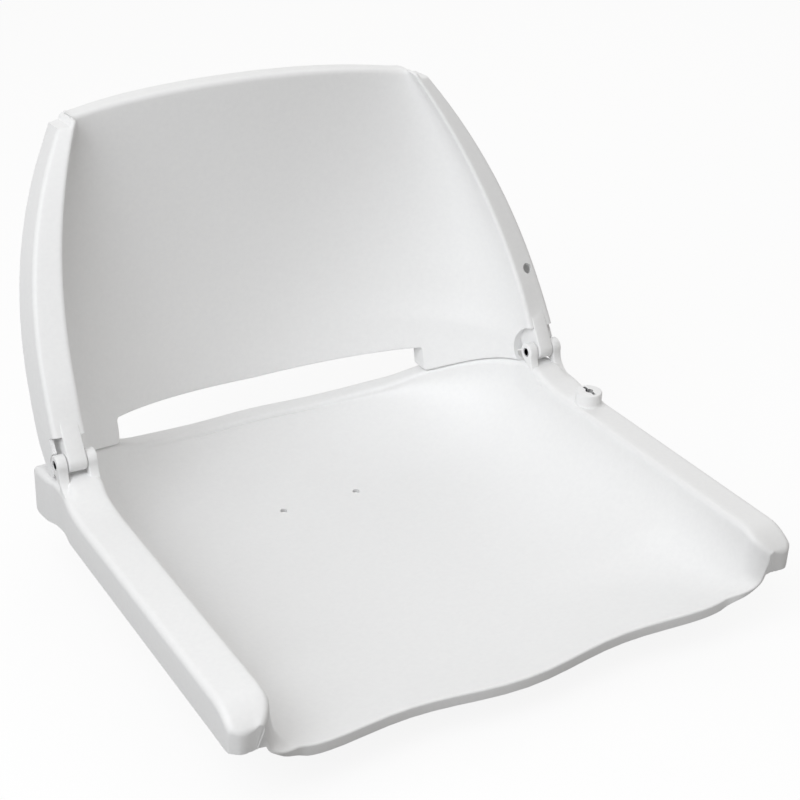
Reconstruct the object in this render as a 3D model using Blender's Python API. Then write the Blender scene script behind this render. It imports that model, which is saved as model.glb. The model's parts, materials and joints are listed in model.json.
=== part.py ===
"""Fold-down moulded boat seat: a dished seat shell with side rails, and a backrest on two hinge pins.

Every shape is worked out in hinge coordinates: x to the right of someone looking at the seat from the
front, y to the back, z up, with the hinge axis along x through y = 0, z = 0. All pieces are then placed
together, so that the mounting plane under the seat is at z = 0 and the seat is centred on x and y.
"""
import math

import bpy
from mathutils import Matrix, Vector

# Overall sizes, metres.
SEAT_WIDTH = 0.500
SEAT_FRONT = 0.327
BACK_RISE = 0.239
WALL = 0.0034

# Clearances: between pieces that touch, and how far a cutter runs past what it cuts.
PIECE_GAP = 0.0003
CUT_SPARE = 0.005

# Seat pan: a dished floor inside a rim that runs along both rails and round the rear.
RAIL_WIDTH = 0.036
PAN_HALF = SEAT_WIDTH / 2 - RAIL_WIDTH
RIM_REACH = 0.130
RIM_ROUND = 0.005
RIM_REAR = -0.0735
FLOOR_LOW = 0.1075
FLOOR_LOW_Y = -0.050
FLOOR_FRONT = 0.082
REAR_STEP = 0.0025
FLOOR_REAR = RIM_ROUND - RIM_REAR + REAR_STEP
FLOOR_SIDE_RISE = 0.0040
FRONT_SIDE_RISE = 0.0045
FRONT_RISE_LONG = 0.177

# How square the corner between floor and wall is: along the sides, at the front and at the rear.
SIDE_POWER = 4.5
FRONT_POWER = 13.5
REAR_POWER = 3.2
FRONT_TIGHT_LONG = 0.117
FRONT_TIGHT_END = 0.009

# Ledge outside the rim at the rear. It dips in the middle, and ends at the rails. Angles are in degrees
# round the rear, 0 in the middle and 90 at the hinge.
LEDGE_WIDTH = 0.020
LEDGE_ROUND = 0.0030
LEDGE_DEEP = 0.013
LEDGE_DIP = 0.0045
DIP_TURN = 36.0
DIP_BLEND = 13.0
LEDGE_LEVEL_TURN = 8.0
LEDGE_HIGH_TURN = 92.0
RAIL_END_BLEND = 8.5

# Front edge: one wave from the middle to each corner, and a lip turned down.
FRONT_WAVE = 0.0045
FRONT_SET_BACK = 0.011
RAIL_SET_BACK = 0.004
CORNER_BLEND = 0.024
LIP_HEIGHT = 0.0092
LIP_ROUND = 0.0022
LIP_LEAST = 0.0014
END_FACE_FOOT = 0.0015
END_FACE_SPREAD = 0.0070

# Side rails, heights from the hinge axis.
RAIL_TOP = -0.021
RAIL_TOP_HINGE = -0.015
RAIL_LIFT_Y = -0.060
RAIL_LIFT_LONG = 0.048
RAIL_BOTTOM = -0.0545
RAIL_BOTTOM_REAR = -0.064
RAIL_DROP_Y = -0.030
RAIL_REAR = 0.048
RAIL_ROUND = 0.006
RAIL_NOSE = 0.026
RAIL_NOSE_DROP = 0.011
RAIL_SLOPE = 0.09

# Hinge: two ears on each rail, a knuckle between them and a slotted spring pin.
EAR_INSET = 0.0033
EAR_OVERHANG = 0.0017
EAR_THICK = 0.0086
EAR_RADIUS = 0.0083
EAR_FILLET = 0.018
EAR_FILLET_SINK = 0.001
EAR_BACK_TURN = 60.0
EAR_ROOT = 0.0088
EAR_OUTER = SEAT_WIDTH / 2 - EAR_INSET
EAR_INNER = PAN_HALF - EAR_OVERHANG
KNUCKLE_OUTER = EAR_OUTER - EAR_THICK - PIECE_GAP
KNUCKLE_INNER = EAR_INNER + EAR_THICK + PIECE_GAP
PIN_RADIUS = 0.0040
PIN_WALL = 0.0014
PIN_SLOT = 0.0016
PIN_SHORT = 0.0004

# Raised saddle on each rail, under and ahead of the knuckle.
SADDLE_TOP = -0.0112
SADDLE_REAR = -0.002
SADDLE_LEVEL = -0.011
SADDLE_FRONT = -0.034
SADDLE_INSET = 0.0002
SADDLE_SINK = 0.0005

# Lock boss on the right rail and the hole that comes down on it when the backrest is folded.
BOSS_INSET = 0.019
BOSS_X = SEAT_WIDTH / 2 - BOSS_INSET
BOSS_Y = -0.0752
BOSS_RADIUS = 0.0118
BOSS_TOP = -0.0095
BOSS_SLOT_LONG = 0.0170
BOSS_SLOT_WIDE = 0.0034
BOSS_SLOT_DEEP = 0.010
BOSS_SOCKET = 0.0036
BORDER_HOLE = 0.0050

# Drain holes in the pan.
DRAIN_X = 0.037
DRAIN_Y = 0.0055
DRAIN_RADIUS = 0.0032

# Backrest: border faces lie close to a plane that leans back, the panel is scooped out behind it.
LEAN = math.radians(32.6)
BACK_INSET = 0.005
BACK_HALF = SEAT_WIDTH / 2 - BACK_INSET
BACK_TAPER = 0.0716
TAPER_START = 0.010
BORDER_AHEAD = 0.0082
BORDER_OVER = 0.003
BORDER_WIDE = BACK_HALF - PAN_HALF - BORDER_OVER
BORDER_TOP_LOSS = 0.0135
BORDER_TURN = 0.0065
HINGE_TURN_SHARE = 0.35
TURN_RISE = 0.050
BORDER_BOW = 0.0021
BORDER_ROUND = 0.0050
SCOOP_ROUND = 0.0085
PANEL_SET_BACK = 0.008
PANEL_LOW_Y = RIM_REACH + PANEL_SET_BACK
PANEL_LOW_Z = -0.039
PANEL_TOP_DEEP = 0.0234
PANEL_POWER_LOW = 1.8
PANEL_POWER_TOP = 2.9
SET_OUT_Z = -0.030

# Backrest edges: the top wall, the side walls, and the cut-out with a tab on each side.
TOP_HALF = BACK_HALF - BACK_TAPER
TOP_ARCH = 0.0111
TOP_DEPTH = 0.020
TOP_REAR_BEND = 0.0185
TOP_DRAFT = 0.05
SIDE_DEPTH = 0.029
SIDE_FLARE = 0.17
SIDE_SHORT = 0.026
SIDE_SHORT_RISE = 0.026
CUT_HALF = 0.1575
CUT_RISE = 0.018
CUT_BLEND = 0.0035
LOW_ROUND = 0.0016
LOW_DEPTH = 0.018
RETURN_SPARE = 0.0008
TAB_GAP = 0.0008
TAB_END = math.pi / 2 - math.radians(14.0)

# Tongue that ties the knuckle into the border, and the clearances round it. The side wall comes down behind
# the outer ear; angles are in degrees round the hinge axis, 0 to the back and 90 up.
KNUCKLE_PROUD = 0.0006
TONGUE_DEEP = 0.020
TONGUE_DEEP_LOW = 0.008
TONGUE_RISE = 0.030
TONGUE_TOP = 0.046
TONGUE_LOW = 0.006
TONGUE_INSET = 0.0002
EAR_RELIEF = 0.022
HEAD_GAP = 0.0009
RELIEF_FROM = 55.0
RELIEF_STEP = 170.0
RELIEF_TO = 285.0
SIDE_LIFT = 0.0020
RELIEF_INNER = 0.040
RELIEF_OUTER = 0.030
RELIEF_LOW_INNER = 0.016
RELIEF_LOW_OUTER = 0.0015
RELIEF_AHEAD = 0.030
RELIEF_BEHIND = 0.012
RELIEF_BELOW = 0.050

# Underside: bosses with threaded inserts on a square pattern, ribs, and cross walls in the rails.
BOLT_PITCH = 0.127
BOLT_Y = -0.085
PAD_RADIUS = 0.015
PAD_ROOF = 0.0017
SOCKET_SPARE = 0.0008
INSERT_RADIUS = 0.0050
INSERT_LONG = 0.0120
INSERT_BORE = 0.0027
INSERT_FLANGE = 0.0012
INSERT_STEP = 0.0006
INSERT_SINK = 0.0002
RIB_THICK = 0.0032
RIB_DEPTH = 0.011
RIB_LIFT = 0.0006
RIB_END = 0.045
RIB_SIDE = 0.030
GUSSET_FIRST = 0.072
GUSSET_PITCH = 0.070
GUSSET_COUNT = 3
GUSSET_LIFT = 0.004

MOUNT_DROP = FLOOR_LOW + PAD_ROOF + SOCKET_SPARE + INSERT_LONG
HINGE_Y = 0.0725
PLACE = Vector((0.0, HINGE_Y, MOUNT_DROP))

SHARP_ANGLE = math.radians(35.0)
DOWN = Vector((0.0, 0.0, -1.0))
BACK = Vector((0.0, 1.0, 0.0))
FACE_OUT = Vector((0.0, -math.cos(LEAN), math.sin(LEAN)))
FACE_UP = Vector((0.0, math.sin(LEAN), math.cos(LEAN)))


def smooth_step(low, high, value):
    """Goes from 0 to 1 with level ends."""
    t = min(1.0, max(0.0, (value - low) / (high - low)))
    return t * t * (3.0 - 2.0 * t)


def mix(a, b, t):
    return a + (b - a) * t


# Materials and meshes.

def plain_material(name, colour, metallic, roughness):
    material = bpy.data.materials.new(name)
    material.use_nodes = True
    shader = material.node_tree.nodes["Principled BSDF"]
    shader.inputs["Base Color"].default_value = (*colour, 1.0)
    shader.inputs["Metallic"].default_value = metallic
    shader.inputs["Roughness"].default_value = roughness
    return material


def solid(name, points, faces, material=None):
    """Makes a placed object from points in hinge coordinates."""
    mesh = bpy.data.meshes.new(name)
    mesh.from_pydata([tuple(p) for p in points], [], faces)
    mesh.validate()
    thing = bpy.data.objects.new(name, mesh)
    thing.location = PLACE
    bpy.context.scene.collection.objects.link(thing)
    if material:
        mesh.materials.append(material)
    return thing


def prism(name, outline, low, high, to_point):
    """Extrudes an outline, whose points to_point(u, v, w) turns into space, from w = low to w = high."""
    count = len(outline)
    points = [to_point(u, v, low) for u, v in outline] + [to_point(u, v, high) for u, v in outline]
    faces = [tuple(range(count))[::-1], tuple(range(count, 2 * count))]
    for i in range(count):
        j = (i + 1) % count
        faces.append((i, j, count + j, count + i))
    origin = to_point(0, 0, 0)
    across = (to_point(1, 0, 0) - origin).cross(to_point(0, 1, 0) - origin)
    if across.dot(to_point(0, 0, 1) - origin) < 0:
        faces = [face[::-1] for face in faces]
    return solid(name, points, faces)


def along_x(u, v, w):
    return Vector((w, u, v))


def along_y(u, v, w):
    return Vector((u, w, v))


def along_z(u, v, w):
    return Vector((u, v, w))


def arc(centre_u, centre_v, radius, start, end, steps):
    """Points of an arc, angles in degrees."""
    angles = [math.radians(mix(start, end, k / steps)) for k in range(steps + 1)]
    return [(centre_u + radius * math.cos(a), centre_v + radius * math.sin(a)) for a in angles]


def disc(centre_u, centre_v, radius, steps=24):
    return arc(centre_u, centre_v, radius, 0, 360, steps)[:-1]


def merge(body, tools, operation):
    """Joins the tools to the body, or cuts them away, and removes the tools."""
    for tool in tools:
        tool.hide_render = True
        tool.display_type = "WIRE"
        step = body.modifiers.new(operation, "BOOLEAN")
        step.operation = operation
        step.solver = "EXACT"
        step.object = tool
    graph = bpy.context.evaluated_depsgraph_get()
    made = bpy.data.meshes.new_from_object(body.evaluated_get(graph))
    body.modifiers.clear()
    body.data = made
    for tool in tools:
        bpy.data.objects.remove(tool)


def shade(thing):
    """Shades the round faces smooth and keeps the edges sharp."""
    thing.data.shade_smooth()
    thing.data.set_sharp_from_angle(angle=SHARP_ANGLE)
    return thing


def corner_normals(points, faces):
    normals = [Vector() for _ in points]
    for face in faces:
        a, b, c = points[face[0]], points[face[1]], points[face[2]]
        across = (b - a).cross(c - a)
        if len(face) == 4:
            across += (c - a).cross(points[face[3]] - a)
        for k in face:
            normals[k] += across
    return [n.normalized() for n in normals]


def moulded_shell(points, faces, loop, edges, steps=3):
    """Thickens a skin to the wall thickness and turns its border down into a skirt.

    loop holds the border's points in order, with the skin on the left seen from its show side. edges gives
    for each of them the edge radius, the direction that the skirt takes and the skirt's straight length.
    """
    normals = corner_normals(points, faces)
    count = len(loop)
    body = [p.copy() for p in points]
    shell_faces = [tuple(face) for face in faces]
    inner_start = len(body)
    body += [p - n * WALL for p, n in zip(points, normals)]
    shell_faces += [tuple(inner_start + k for k in face[::-1]) for face in faces]
    rings = [[] for _ in range(steps + 2)]
    for i, k in enumerate(loop):
        radius, way, length = edges[i]
        before = (points[k] - points[loop[i - 1]]).normalized()
        after = (points[loop[(i + 1) % count]] - points[k]).normalized()
        out = (before + after).normalized().cross(normals[k]).normalized()
        reach = 1.0 / max(0.8, math.sqrt(max(0.0, (1.0 + before.dot(after)) / 2.0)))
        down = (way - out * way.dot(out)).normalized()
        sweep = math.acos(max(-1.0, min(1.0, way.dot(out))))
        inset = WALL - radius
        body[inner_start + k] -= out * (inset * reach * (math.tan(sweep / 2) if inset > 0.0 else 1.0))
        for step in range(steps):
            turn = sweep * (step + 1) / steps
            across = out * (math.sin(turn) * reach) + down * (1.0 - math.cos(turn))
            rings[step].append(points[k] + across * radius)
        foot = rings[steps - 1][-1] + way * length
        rings[steps].append(foot)
        rings[steps + 1].append(foot - (out * math.sin(sweep) - down * math.cos(sweep)) * (WALL * reach))
    index = [list(loop)]
    for ring in rings:
        index.append(list(range(len(body), len(body) + count)))
        body += ring
    index.append([inner_start + k for k in loop])
    for upper, lower in zip(index, index[1:]):
        for i in range(count):
            j = (i + 1) % count
            shell_faces.append((upper[j], upper[i], lower[i], lower[j]))
    return body, shell_faces


# Seat surface.

def floor_height(x, y):
    """Height of the dished floor before it rises to the rim."""
    if y < FLOOR_LOW_Y:
        t = (FLOOR_LOW_Y - y) / (FLOOR_LOW_Y + SEAT_FRONT)
        low = mix(-FLOOR_LOW, -FLOOR_FRONT, t * t)
    else:
        t = (y - FLOOR_LOW_Y) / (RIM_REACH - FLOOR_LOW_Y)
        low = mix(-FLOOR_LOW, -FLOOR_REAR, t * t)
    rise = FLOOR_SIDE_RISE + FRONT_SIDE_RISE * smooth_step(FRONT_RISE_LONG, 0.0, y + SEAT_FRONT)
    return low + rise * (x / PAN_HALF) ** 2


def rail_height(y):
    """Height of the rail's top at its inner edge, for the part ahead of the hinge."""
    nose = max(0.0, (RAIL_NOSE - SEAT_FRONT - y) / RAIL_NOSE)
    lift = smooth_step(0.0, RAIL_LIFT_LONG, y - RAIL_LIFT_Y)
    return mix(RAIL_TOP, RAIL_TOP_HINGE, lift) - RAIL_NOSE_DROP * nose * nose


def rail_foot(y):
    """Height of the rail's lower edge, which drops to the rear."""
    return mix(RAIL_BOTTOM, RAIL_BOTTOM_REAR, smooth_step(RAIL_DROP_Y, RAIL_REAR, y))


def ledge_height(turn):
    """Height of the ledge behind the hinge, by the angle round the rear: 0 in the middle, 90 at the hinge.

    Between the places where the tabs rest it dips.
    """
    turn = abs(turn)
    high = mix(RIM_REAR, RAIL_TOP_HINGE, smooth_step(LEDGE_LEVEL_TURN, LEDGE_HIGH_TURN, turn))
    return high - LEDGE_DIP * (1.0 - smooth_step(DIP_TURN, DIP_TURN + DIP_BLEND, turn))


def ledge_height_at(x, y):
    return ledge_height(math.degrees(math.atan2(abs(x) / PAN_HALF, y / RIM_REACH)))


def wall_power(y):
    """How square the corner between floor and side wall is: round along the seat, tight at the front."""
    return mix(SIDE_POWER, FRONT_POWER, smooth_step(FRONT_TIGHT_LONG, FRONT_TIGHT_END, y + SEAT_FRONT))


def rear_power(turn):
    """The same round the rear, by the angle in radians."""
    return mix(SIDE_POWER, REAR_POWER, math.cos(turn) ** 2)


def front_edge(x):
    x = abs(x)
    pitch = PAN_HALF - CORNER_BLEND
    wave = FRONT_SET_BACK - SEAT_FRONT - FRONT_WAVE * math.cos(2 * math.pi * x / pitch)
    return mix(wave, RAIL_SET_BACK - SEAT_FRONT, smooth_step(pitch, PAN_HALF + RIM_ROUND, x))


def rim_place(turn):
    """The rim's place behind the hinge and the direction outwards from it, by the angle in radians."""
    rim = Vector((PAN_HALF * math.sin(turn), RIM_REACH * math.cos(turn), 0.0))
    out = Vector((math.sin(turn) / PAN_HALF, math.cos(turn) / RIM_REACH, 0.0)).normalized()
    return rim, out


def room_to_rail_end(turn):
    """Room between the rim and the rail's rear end, along the direction outwards."""
    rim, out = rim_place(math.radians(turn))
    return (RAIL_REAR - RAIL_ROUND - rim.y) / out.y if out.y > 1e-6 else 1.0


def ledge_width(turn):
    """Width of the band outside the rim: the ledge at the rear, and the rail's end beside the hinge."""
    rim, out = rim_place(math.radians(abs(turn)))
    to_side = (SEAT_WIDTH / 2 - RAIL_ROUND - rim.x) / out.x if out.x > 1e-6 else 1.0
    return max(LEDGE_WIDTH - LEDGE_ROUND, min(to_side, room_to_rail_end(abs(turn))))


def rail_end_turn():
    """Angle round the rear, in degrees, at which the ledge runs into the rail's rear end."""
    low, high = 30.0, 89.0
    for _ in range(40):
        middle = (low + high) / 2
        if room_to_rail_end(middle) < LEDGE_WIDTH - LEDGE_ROUND:
            low = middle
        else:
            high = middle
    return low


BOWL_STEPS = 10


def seat_columns():
    """Places across the seat from the middle outwards: (part, fraction)."""
    columns = [("floor", 0.0), ("inner", 0.33), ("inner", 0.66)]
    columns += [("bowl", k / BOWL_STEPS) for k in range(1, BOWL_STEPS + 1)]
    columns += [("edge", k / 3) for k in range(1, 4)]
    columns += [("band", k / 3) for k in range(1, 4)]
    return columns


def bowl_spot(part, fraction, power):
    """Fraction of the way to the rim, and of the rise from floor to rim."""
    if part == "floor":
        return 0.0, 0.0
    if part == "inner":
        away = fraction * math.sin(math.pi / 2 / BOWL_STEPS) ** (2.0 / power)
        return away, 1.0 - math.sqrt(max(0.0, 1.0 - away ** power))
    angle = math.pi / 2 * fraction
    return math.sin(angle) ** (2.0 / power), 1.0 - math.cos(angle)


def seat_row_point(side, column, along):
    """A point ahead of the hinge: along is 0 at the front edge and 1 at the hinge."""
    part, fraction = column
    y_plain = -SEAT_FRONT * (1.0 - along)
    if part in ("floor", "inner", "bowl"):
        away, rise = bowl_spot(part, fraction, wall_power(y_plain))
        x = PAN_HALF * away
        y = front_edge(x) * (1.0 - along)
        low = floor_height(x, y_plain)
        return Vector((side * x, y, mix(low, rail_height(y) - RIM_ROUND, rise)))
    if part == "edge":
        angle = math.pi / 2 * fraction
        x = PAN_HALF + RIM_ROUND * (1.0 - math.cos(angle))
        y = front_edge(x) * (1.0 - along)
        return Vector((side * x, y, rail_height(y) - RIM_ROUND * (1.0 - math.sin(angle))))
    x = mix(PAN_HALF + RIM_ROUND, SEAT_WIDTH / 2 - RAIL_ROUND, fraction)
    y = front_edge(x) * (1.0 - along)
    return Vector((side * x, y, rail_top(x, y)))


def rail_top(x, y):
    """Height of the rail's top face, which slopes down to the outside."""
    return rail_height(y) - RAIL_SLOPE * (x - PAN_HALF - RIM_ROUND)


def seat_turn_point(column, turn):
    """A point behind the hinge, on the line from the middle of the hinge axis at the angle turn."""
    part, fraction = column
    t = math.radians(turn)
    rim, out = rim_place(t)
    top = ledge_height(turn)
    edge = top - RIM_ROUND
    if part in ("floor", "inner", "bowl"):
        away, rise = bowl_spot(part, fraction, rear_power(t))
        spot = rim * away
        spot.z = mix(floor_height(spot.x, spot.y), edge, rise)
        return spot
    if part == "edge":
        angle = math.pi / 2 * fraction
        spot = rim + out * (RIM_ROUND * (1.0 - math.cos(angle)))
        spot.z = mix(edge, top, math.sin(angle))
        return spot
    wide = mix(RIM_ROUND, ledge_width(turn), fraction)
    spot = rim + out * wide
    spot.z = top - RAIL_SLOPE * (wide - RIM_ROUND) * math.sin(t) ** 16
    return spot


def pan_height(x, y):
    """Height of the pan's top at a place inside the rim."""
    if y <= 0.0:
        away = abs(x) / PAN_HALF
        power = wall_power(y)
        top = rail_height(y) - RIM_ROUND
    else:
        away = math.hypot(x / PAN_HALF, y / RIM_REACH)
        turn = math.atan2(abs(x) / PAN_HALF, y / RIM_REACH)
        power = rear_power(turn)
        top = ledge_height(math.degrees(turn)) - RIM_ROUND
    rise = 1.0 - math.sqrt(max(0.0, 1.0 - min(1.0, away) ** power))
    return mix(floor_height(x, y), top, rise)


def seat_turns():
    """Angles round the rear from right to left, close together where the ledge meets the rail's end."""
    end = rail_end_turn()
    beside = [end + (90.0 - end) * share for share in (0.74, 0.49, 0.29, 0.13)]
    turns = beside + [end, end - 2.0, end - 3.8, end - 5.9, end - 9.4, end - 14.4, end - 20.4]
    dip = DIP_TURN + DIP_BLEND
    turns += [dip, mix(dip, DIP_TURN, 0.31), mix(dip, DIP_TURN, 0.69), DIP_TURN]
    turns += [DIP_TURN * share for share in (0.83, 0.67, 0.44, 0.22)]
    turns = sorted(turns, reverse=True)
    return [90.0] + turns + [0.0] + [-t for t in turns[::-1]] + [-90.0]


def seat_skin():
    """The seat's top skin: rows ahead of the hinge and a half turn behind it, with its border loop."""
    columns = seat_columns()
    last = len(columns) - 1
    rows = [0.0, 0.018, 0.045, 0.085, 0.15, 0.24, 0.34, 0.45, 0.56, 0.67, 0.77, 0.85, 0.92, 0.96, 1.0]
    turns = seat_turns()
    points, faces, index = [], [], {}

    def add(key, point):
        index[key] = len(points)
        points.append(point)

    for j, along in enumerate(rows):
        for i in range(-last, last + 1):
            side = -1.0 if i < 0 else 1.0
            add(("row", j, i), seat_row_point(side, columns[abs(i)], along))
    end = len(rows) - 1

    def turn_key(m, k):
        if k == 0:
            return ("row", end, 0)
        if m == 0:
            return ("row", end, k)
        if m == len(turns) - 1:
            return ("row", end, -k)
        return ("turn", m, k)

    for m in range(1, len(turns) - 1):
        for k in range(1, last + 1):
            add(("turn", m, k), seat_turn_point(columns[k], turns[m]))
    for j in range(end):
        for i in range(-last, last):
            corners = (("row", j, i), ("row", j, i + 1), ("row", j + 1, i + 1), ("row", j + 1, i))
            faces.append(tuple(index[key] for key in corners))
    for m in range(len(turns) - 1):
        for k in range(last):
            corners = [turn_key(m, k), turn_key(m, k + 1), turn_key(m + 1, k + 1), turn_key(m + 1, k)]
            ring = [index[key] for key in corners]
            faces.append(tuple(ring[:-1] if ring[0] == ring[3] else ring))
    loop, edges = [], []
    for i in range(-last, last + 1):
        loop.append(index[("row", 0, i)])
        side = 1.0 if i >= 0 else -1.0
        edges.append(front_skirt(points[loop[-1]], columns[abs(i)], side, abs(i) == last))
    for j in range(1, end + 1):
        loop.append(index[("row", j, last)])
        edges.append(side_skirt(points[loop[-1]]))
    for m in range(1, len(turns) - 1):
        loop.append(index[turn_key(m, last)])
        edges.append(rear_skirt(points[loop[-1]], turns[m]))
    for j in range(end, 0, -1):
        loop.append(index[("row", j, -last)])
        edges.append(side_skirt(points[loop[-1]]))
    return points, faces, loop, edges


def front_skirt(point, column, side, corner):
    """The front lip under the pan, the bare edge of the side wall, and the end face of the rail."""
    if column[0] == "band":
        radius = RAIL_ROUND * (0.8 if corner else 0.7)
        return radius, DOWN, point.z - RAIL_BOTTOM - radius
    away = abs(point.x) / PAN_HALF
    above = (point.z - RAIL_BOTTOM) / (RAIL_TOP - RAIL_NOSE_DROP - RAIL_BOTTOM)
    if above > 0.05:
        foot_x = PAN_HALF + WALL + END_FACE_FOOT + END_FACE_SPREAD * above
        way = Vector((side * foot_x, point.y, RAIL_BOTTOM)) - point
        return LIP_ROUND, way.normalized(), max(WALL, way.length - LIP_ROUND)
    tall = mix(LIP_HEIGHT, WALL, smooth_step(0.87, 0.995, away))
    way = mix(DOWN, Vector((side, 0.0, -0.05)), smooth_step(0.93, 1.0, away)).normalized()
    return LIP_ROUND, way, max(tall - LIP_ROUND, LIP_LEAST)


def side_skirt(point):
    return RAIL_ROUND, DOWN, point.z - RAIL_ROUND - rail_foot(point.y)


def rear_skirt(point, turn):
    end = rail_end_turn()
    beside = smooth_step(end - RAIL_END_BLEND, end, abs(turn))
    radius = mix(LEDGE_ROUND, RAIL_ROUND, beside)
    foot = mix(point.z - LEDGE_DEEP, rail_foot(point.y), beside)
    return radius, DOWN, point.z - radius - foot


# Backrest surface.

def border_outer(z):
    """Outer edge of the border's face at a height, as x and y."""
    up = max(0.0, z - TAPER_START) / (BACK_RISE - TAPER_START)
    share = z / BACK_RISE
    y = z * math.tan(LEAN) - BORDER_AHEAD / math.cos(LEAN) + 4 * BORDER_BOW * share * (1.0 - share)
    return BACK_HALF - BACK_TAPER * up ** 2.4, y


def border_inner(z):
    """Inner edge of the border's face at a height, as x and y."""
    x, y = border_outer(z)
    up = max(0.0, z - TAPER_START) / (BACK_RISE - TAPER_START)
    turned = BORDER_TURN * mix(HINGE_TURN_SHARE, 1.0, smooth_step(0.0, TURN_RISE, z))
    return x - BORDER_WIDE + BORDER_TOP_LOSS * up ** 3, y - turned


PANEL_TOP_Y = border_inner(BACK_RISE)[1] + PANEL_TOP_DEEP


def panel_share(z):
    return (z - PANEL_LOW_Z) / (BACK_RISE - PANEL_LOW_Z)


def panel_middle(z):
    return mix(PANEL_LOW_Y, PANEL_TOP_Y, panel_share(z))


def panel_power(z):
    """How square the panel's section is: nearly an ellipse below, flatter in the middle above."""
    return mix(PANEL_POWER_LOW, PANEL_POWER_TOP, min(1.0, max(0.0, panel_share(z))))


def panel_angle(x):
    """Angle round the panel's section that belongs to a place across, at the height where both are set out."""
    return math.asin((x / border_inner(SET_OUT_Z)[0]) ** (panel_power(SET_OUT_Z) / 2))


def back_columns():
    """Places across the backrest from the middle outwards."""
    cut_start = CUT_HALF - CUT_BLEND
    marks = [cut_start * share for share in (0.0, 0.23, 0.45, 0.65, 0.81, 0.93, 1.0)]
    marks += [CUT_HALF - CUT_BLEND / 3, CUT_HALF + CUT_BLEND / 3]
    angles = [panel_angle(x) for x in marks]
    tab_start = panel_angle(CUT_HALF + CUT_BLEND)
    angles += [mix(tab_start, TAB_END, share) for share in (0.0, 0.11, 0.28, 0.47, 0.70, 1.0)]
    angles += [(TAB_END + math.pi / 2) / 2, math.pi / 2]
    columns = [("panel", angle) for angle in angles]
    columns += [("scoop", k / 3) for k in range(1, 4)]
    columns += [("border", k / 3) for k in range(1, 4)]
    return columns


def back_spot(column, z):
    """A point of the backrest's front at a height, right half."""
    part, value = column
    inner_x, inner_y = border_inner(z)
    outer_x, outer_y = border_outer(z)
    if part == "panel":
        power = panel_power(z)
        rim_y = max(inner_y + SCOOP_ROUND, 0.0)
        x = inner_x * math.sin(value) ** (2.0 / power)
        y = rim_y + (panel_middle(z) - rim_y) * max(0.0, math.cos(value)) ** (2.0 / power)
        return Vector((x, y, z))
    across = Vector((outer_x - inner_x, outer_y - inner_y, 0.0)).normalized()
    corner = Vector((inner_x, inner_y, z))
    if part == "scoop":
        half = math.acos(BACK.dot(across)) / 2
        radius = SCOOP_ROUND * math.tan(half)
        centre = corner + (BACK + across).normalized() * (SCOOP_ROUND / math.cos(half))
        turn = Matrix.Rotation((math.pi - 2 * half) * value, 3, "Z")
        return centre + turn @ Vector((-radius, 0.0, 0.0))
    begin = corner + across * SCOOP_ROUND
    finish = Vector((outer_x, outer_y, z)) - across * BORDER_ROUND
    return mix(begin, finish, value)


def back_low(column):
    """Lowest height of the backrest's skin in a column: the cut-out, then the tab on the ledge."""
    if column[0] != "panel":
        return back_low(("panel", math.pi / 2))
    spot = back_spot(column, SET_OUT_Z)
    cut = PANEL_LOW_Z + CUT_RISE * (min(spot.x, CUT_HALF) / CUT_HALF) ** 1.5
    tab = ledge_height_at(max(spot.x, CUT_HALF), spot.y) + TAB_GAP + LOW_ROUND
    return mix(cut, tab, smooth_step(CUT_HALF - CUT_BLEND, CUT_HALF + CUT_BLEND, spot.x))


def back_high(x):
    """Top height of the backrest's skin, arched across."""
    return BACK_RISE - TOP_ARCH * (x / TOP_HALF) ** 2


def back_skin():
    """The backrest's front skin with its border loop."""
    columns = back_columns()
    last = len(columns) - 1
    rows = [0.0, 0.03, 0.08, 0.16, 0.26, 0.37, 0.48, 0.59, 0.70, 0.80, 0.89, 0.95, 1.0]
    points, faces, index = [], [], {}
    for i in range(-last, last + 1):
        column = columns[abs(i)]
        low = back_low(column)
        high = back_high(back_spot(column, BACK_RISE - TOP_ARCH / 2).x)
        for j, t in enumerate(rows):
            spot = back_spot(column, mix(low, high, t))
            if i < 0:
                spot.x = -spot.x
            index[(j, i)] = len(points)
            points.append(spot)
    end = len(rows) - 1
    for j in range(end):
        for i in range(-last, last):
            faces.append((index[(j, i)], index[(j, i + 1)], index[(j + 1, i + 1)], index[(j + 1, i)]))
    normals = corner_normals(points, faces)
    loop, edges = [], []
    for i in range(-last, last + 1):
        loop.append(index[(0, i)])
        edges.append(low_skirt(normals[loop[-1]], columns[abs(i)]))
    for j in range(1, end):
        loop.append(index[(j, last)])
        edges.append(border_skirt(1.0, points[loop[-1]].z))
    for i in range(last, -last - 1, -1):
        loop.append(index[(end, i)])
        edges.append(top_skirt(points[loop[-1]]))
    for j in range(end - 1, 0, -1):
        loop.append(index[(j, -last)])
        edges.append(border_skirt(-1.0, points[loop[-1]].z))
    return points, faces, loop, edges


def border_skirt(side, z):
    """The side wall, which flares out to the rear and is short beside the hinge."""
    way = (-FACE_OUT + Vector((side * SIDE_FLARE, 0.0, 0.0))).normalized()
    short = smooth_step(SIDE_SHORT_RISE, 0.0, z)
    return BORDER_ROUND, way, mix(SIDE_DEPTH, SIDE_SHORT, short) - BORDER_ROUND


def top_skirt(point):
    """The top wall runs level to one rear edge, which bends forward to the sides."""
    rear = PANEL_TOP_Y + TOP_DEPTH - TOP_REAR_BEND * (abs(point.x) / TOP_HALF) ** 4
    return BORDER_ROUND, (BACK + DOWN * TOP_DRAFT).normalized(), rear - point.y - BORDER_ROUND


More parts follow.
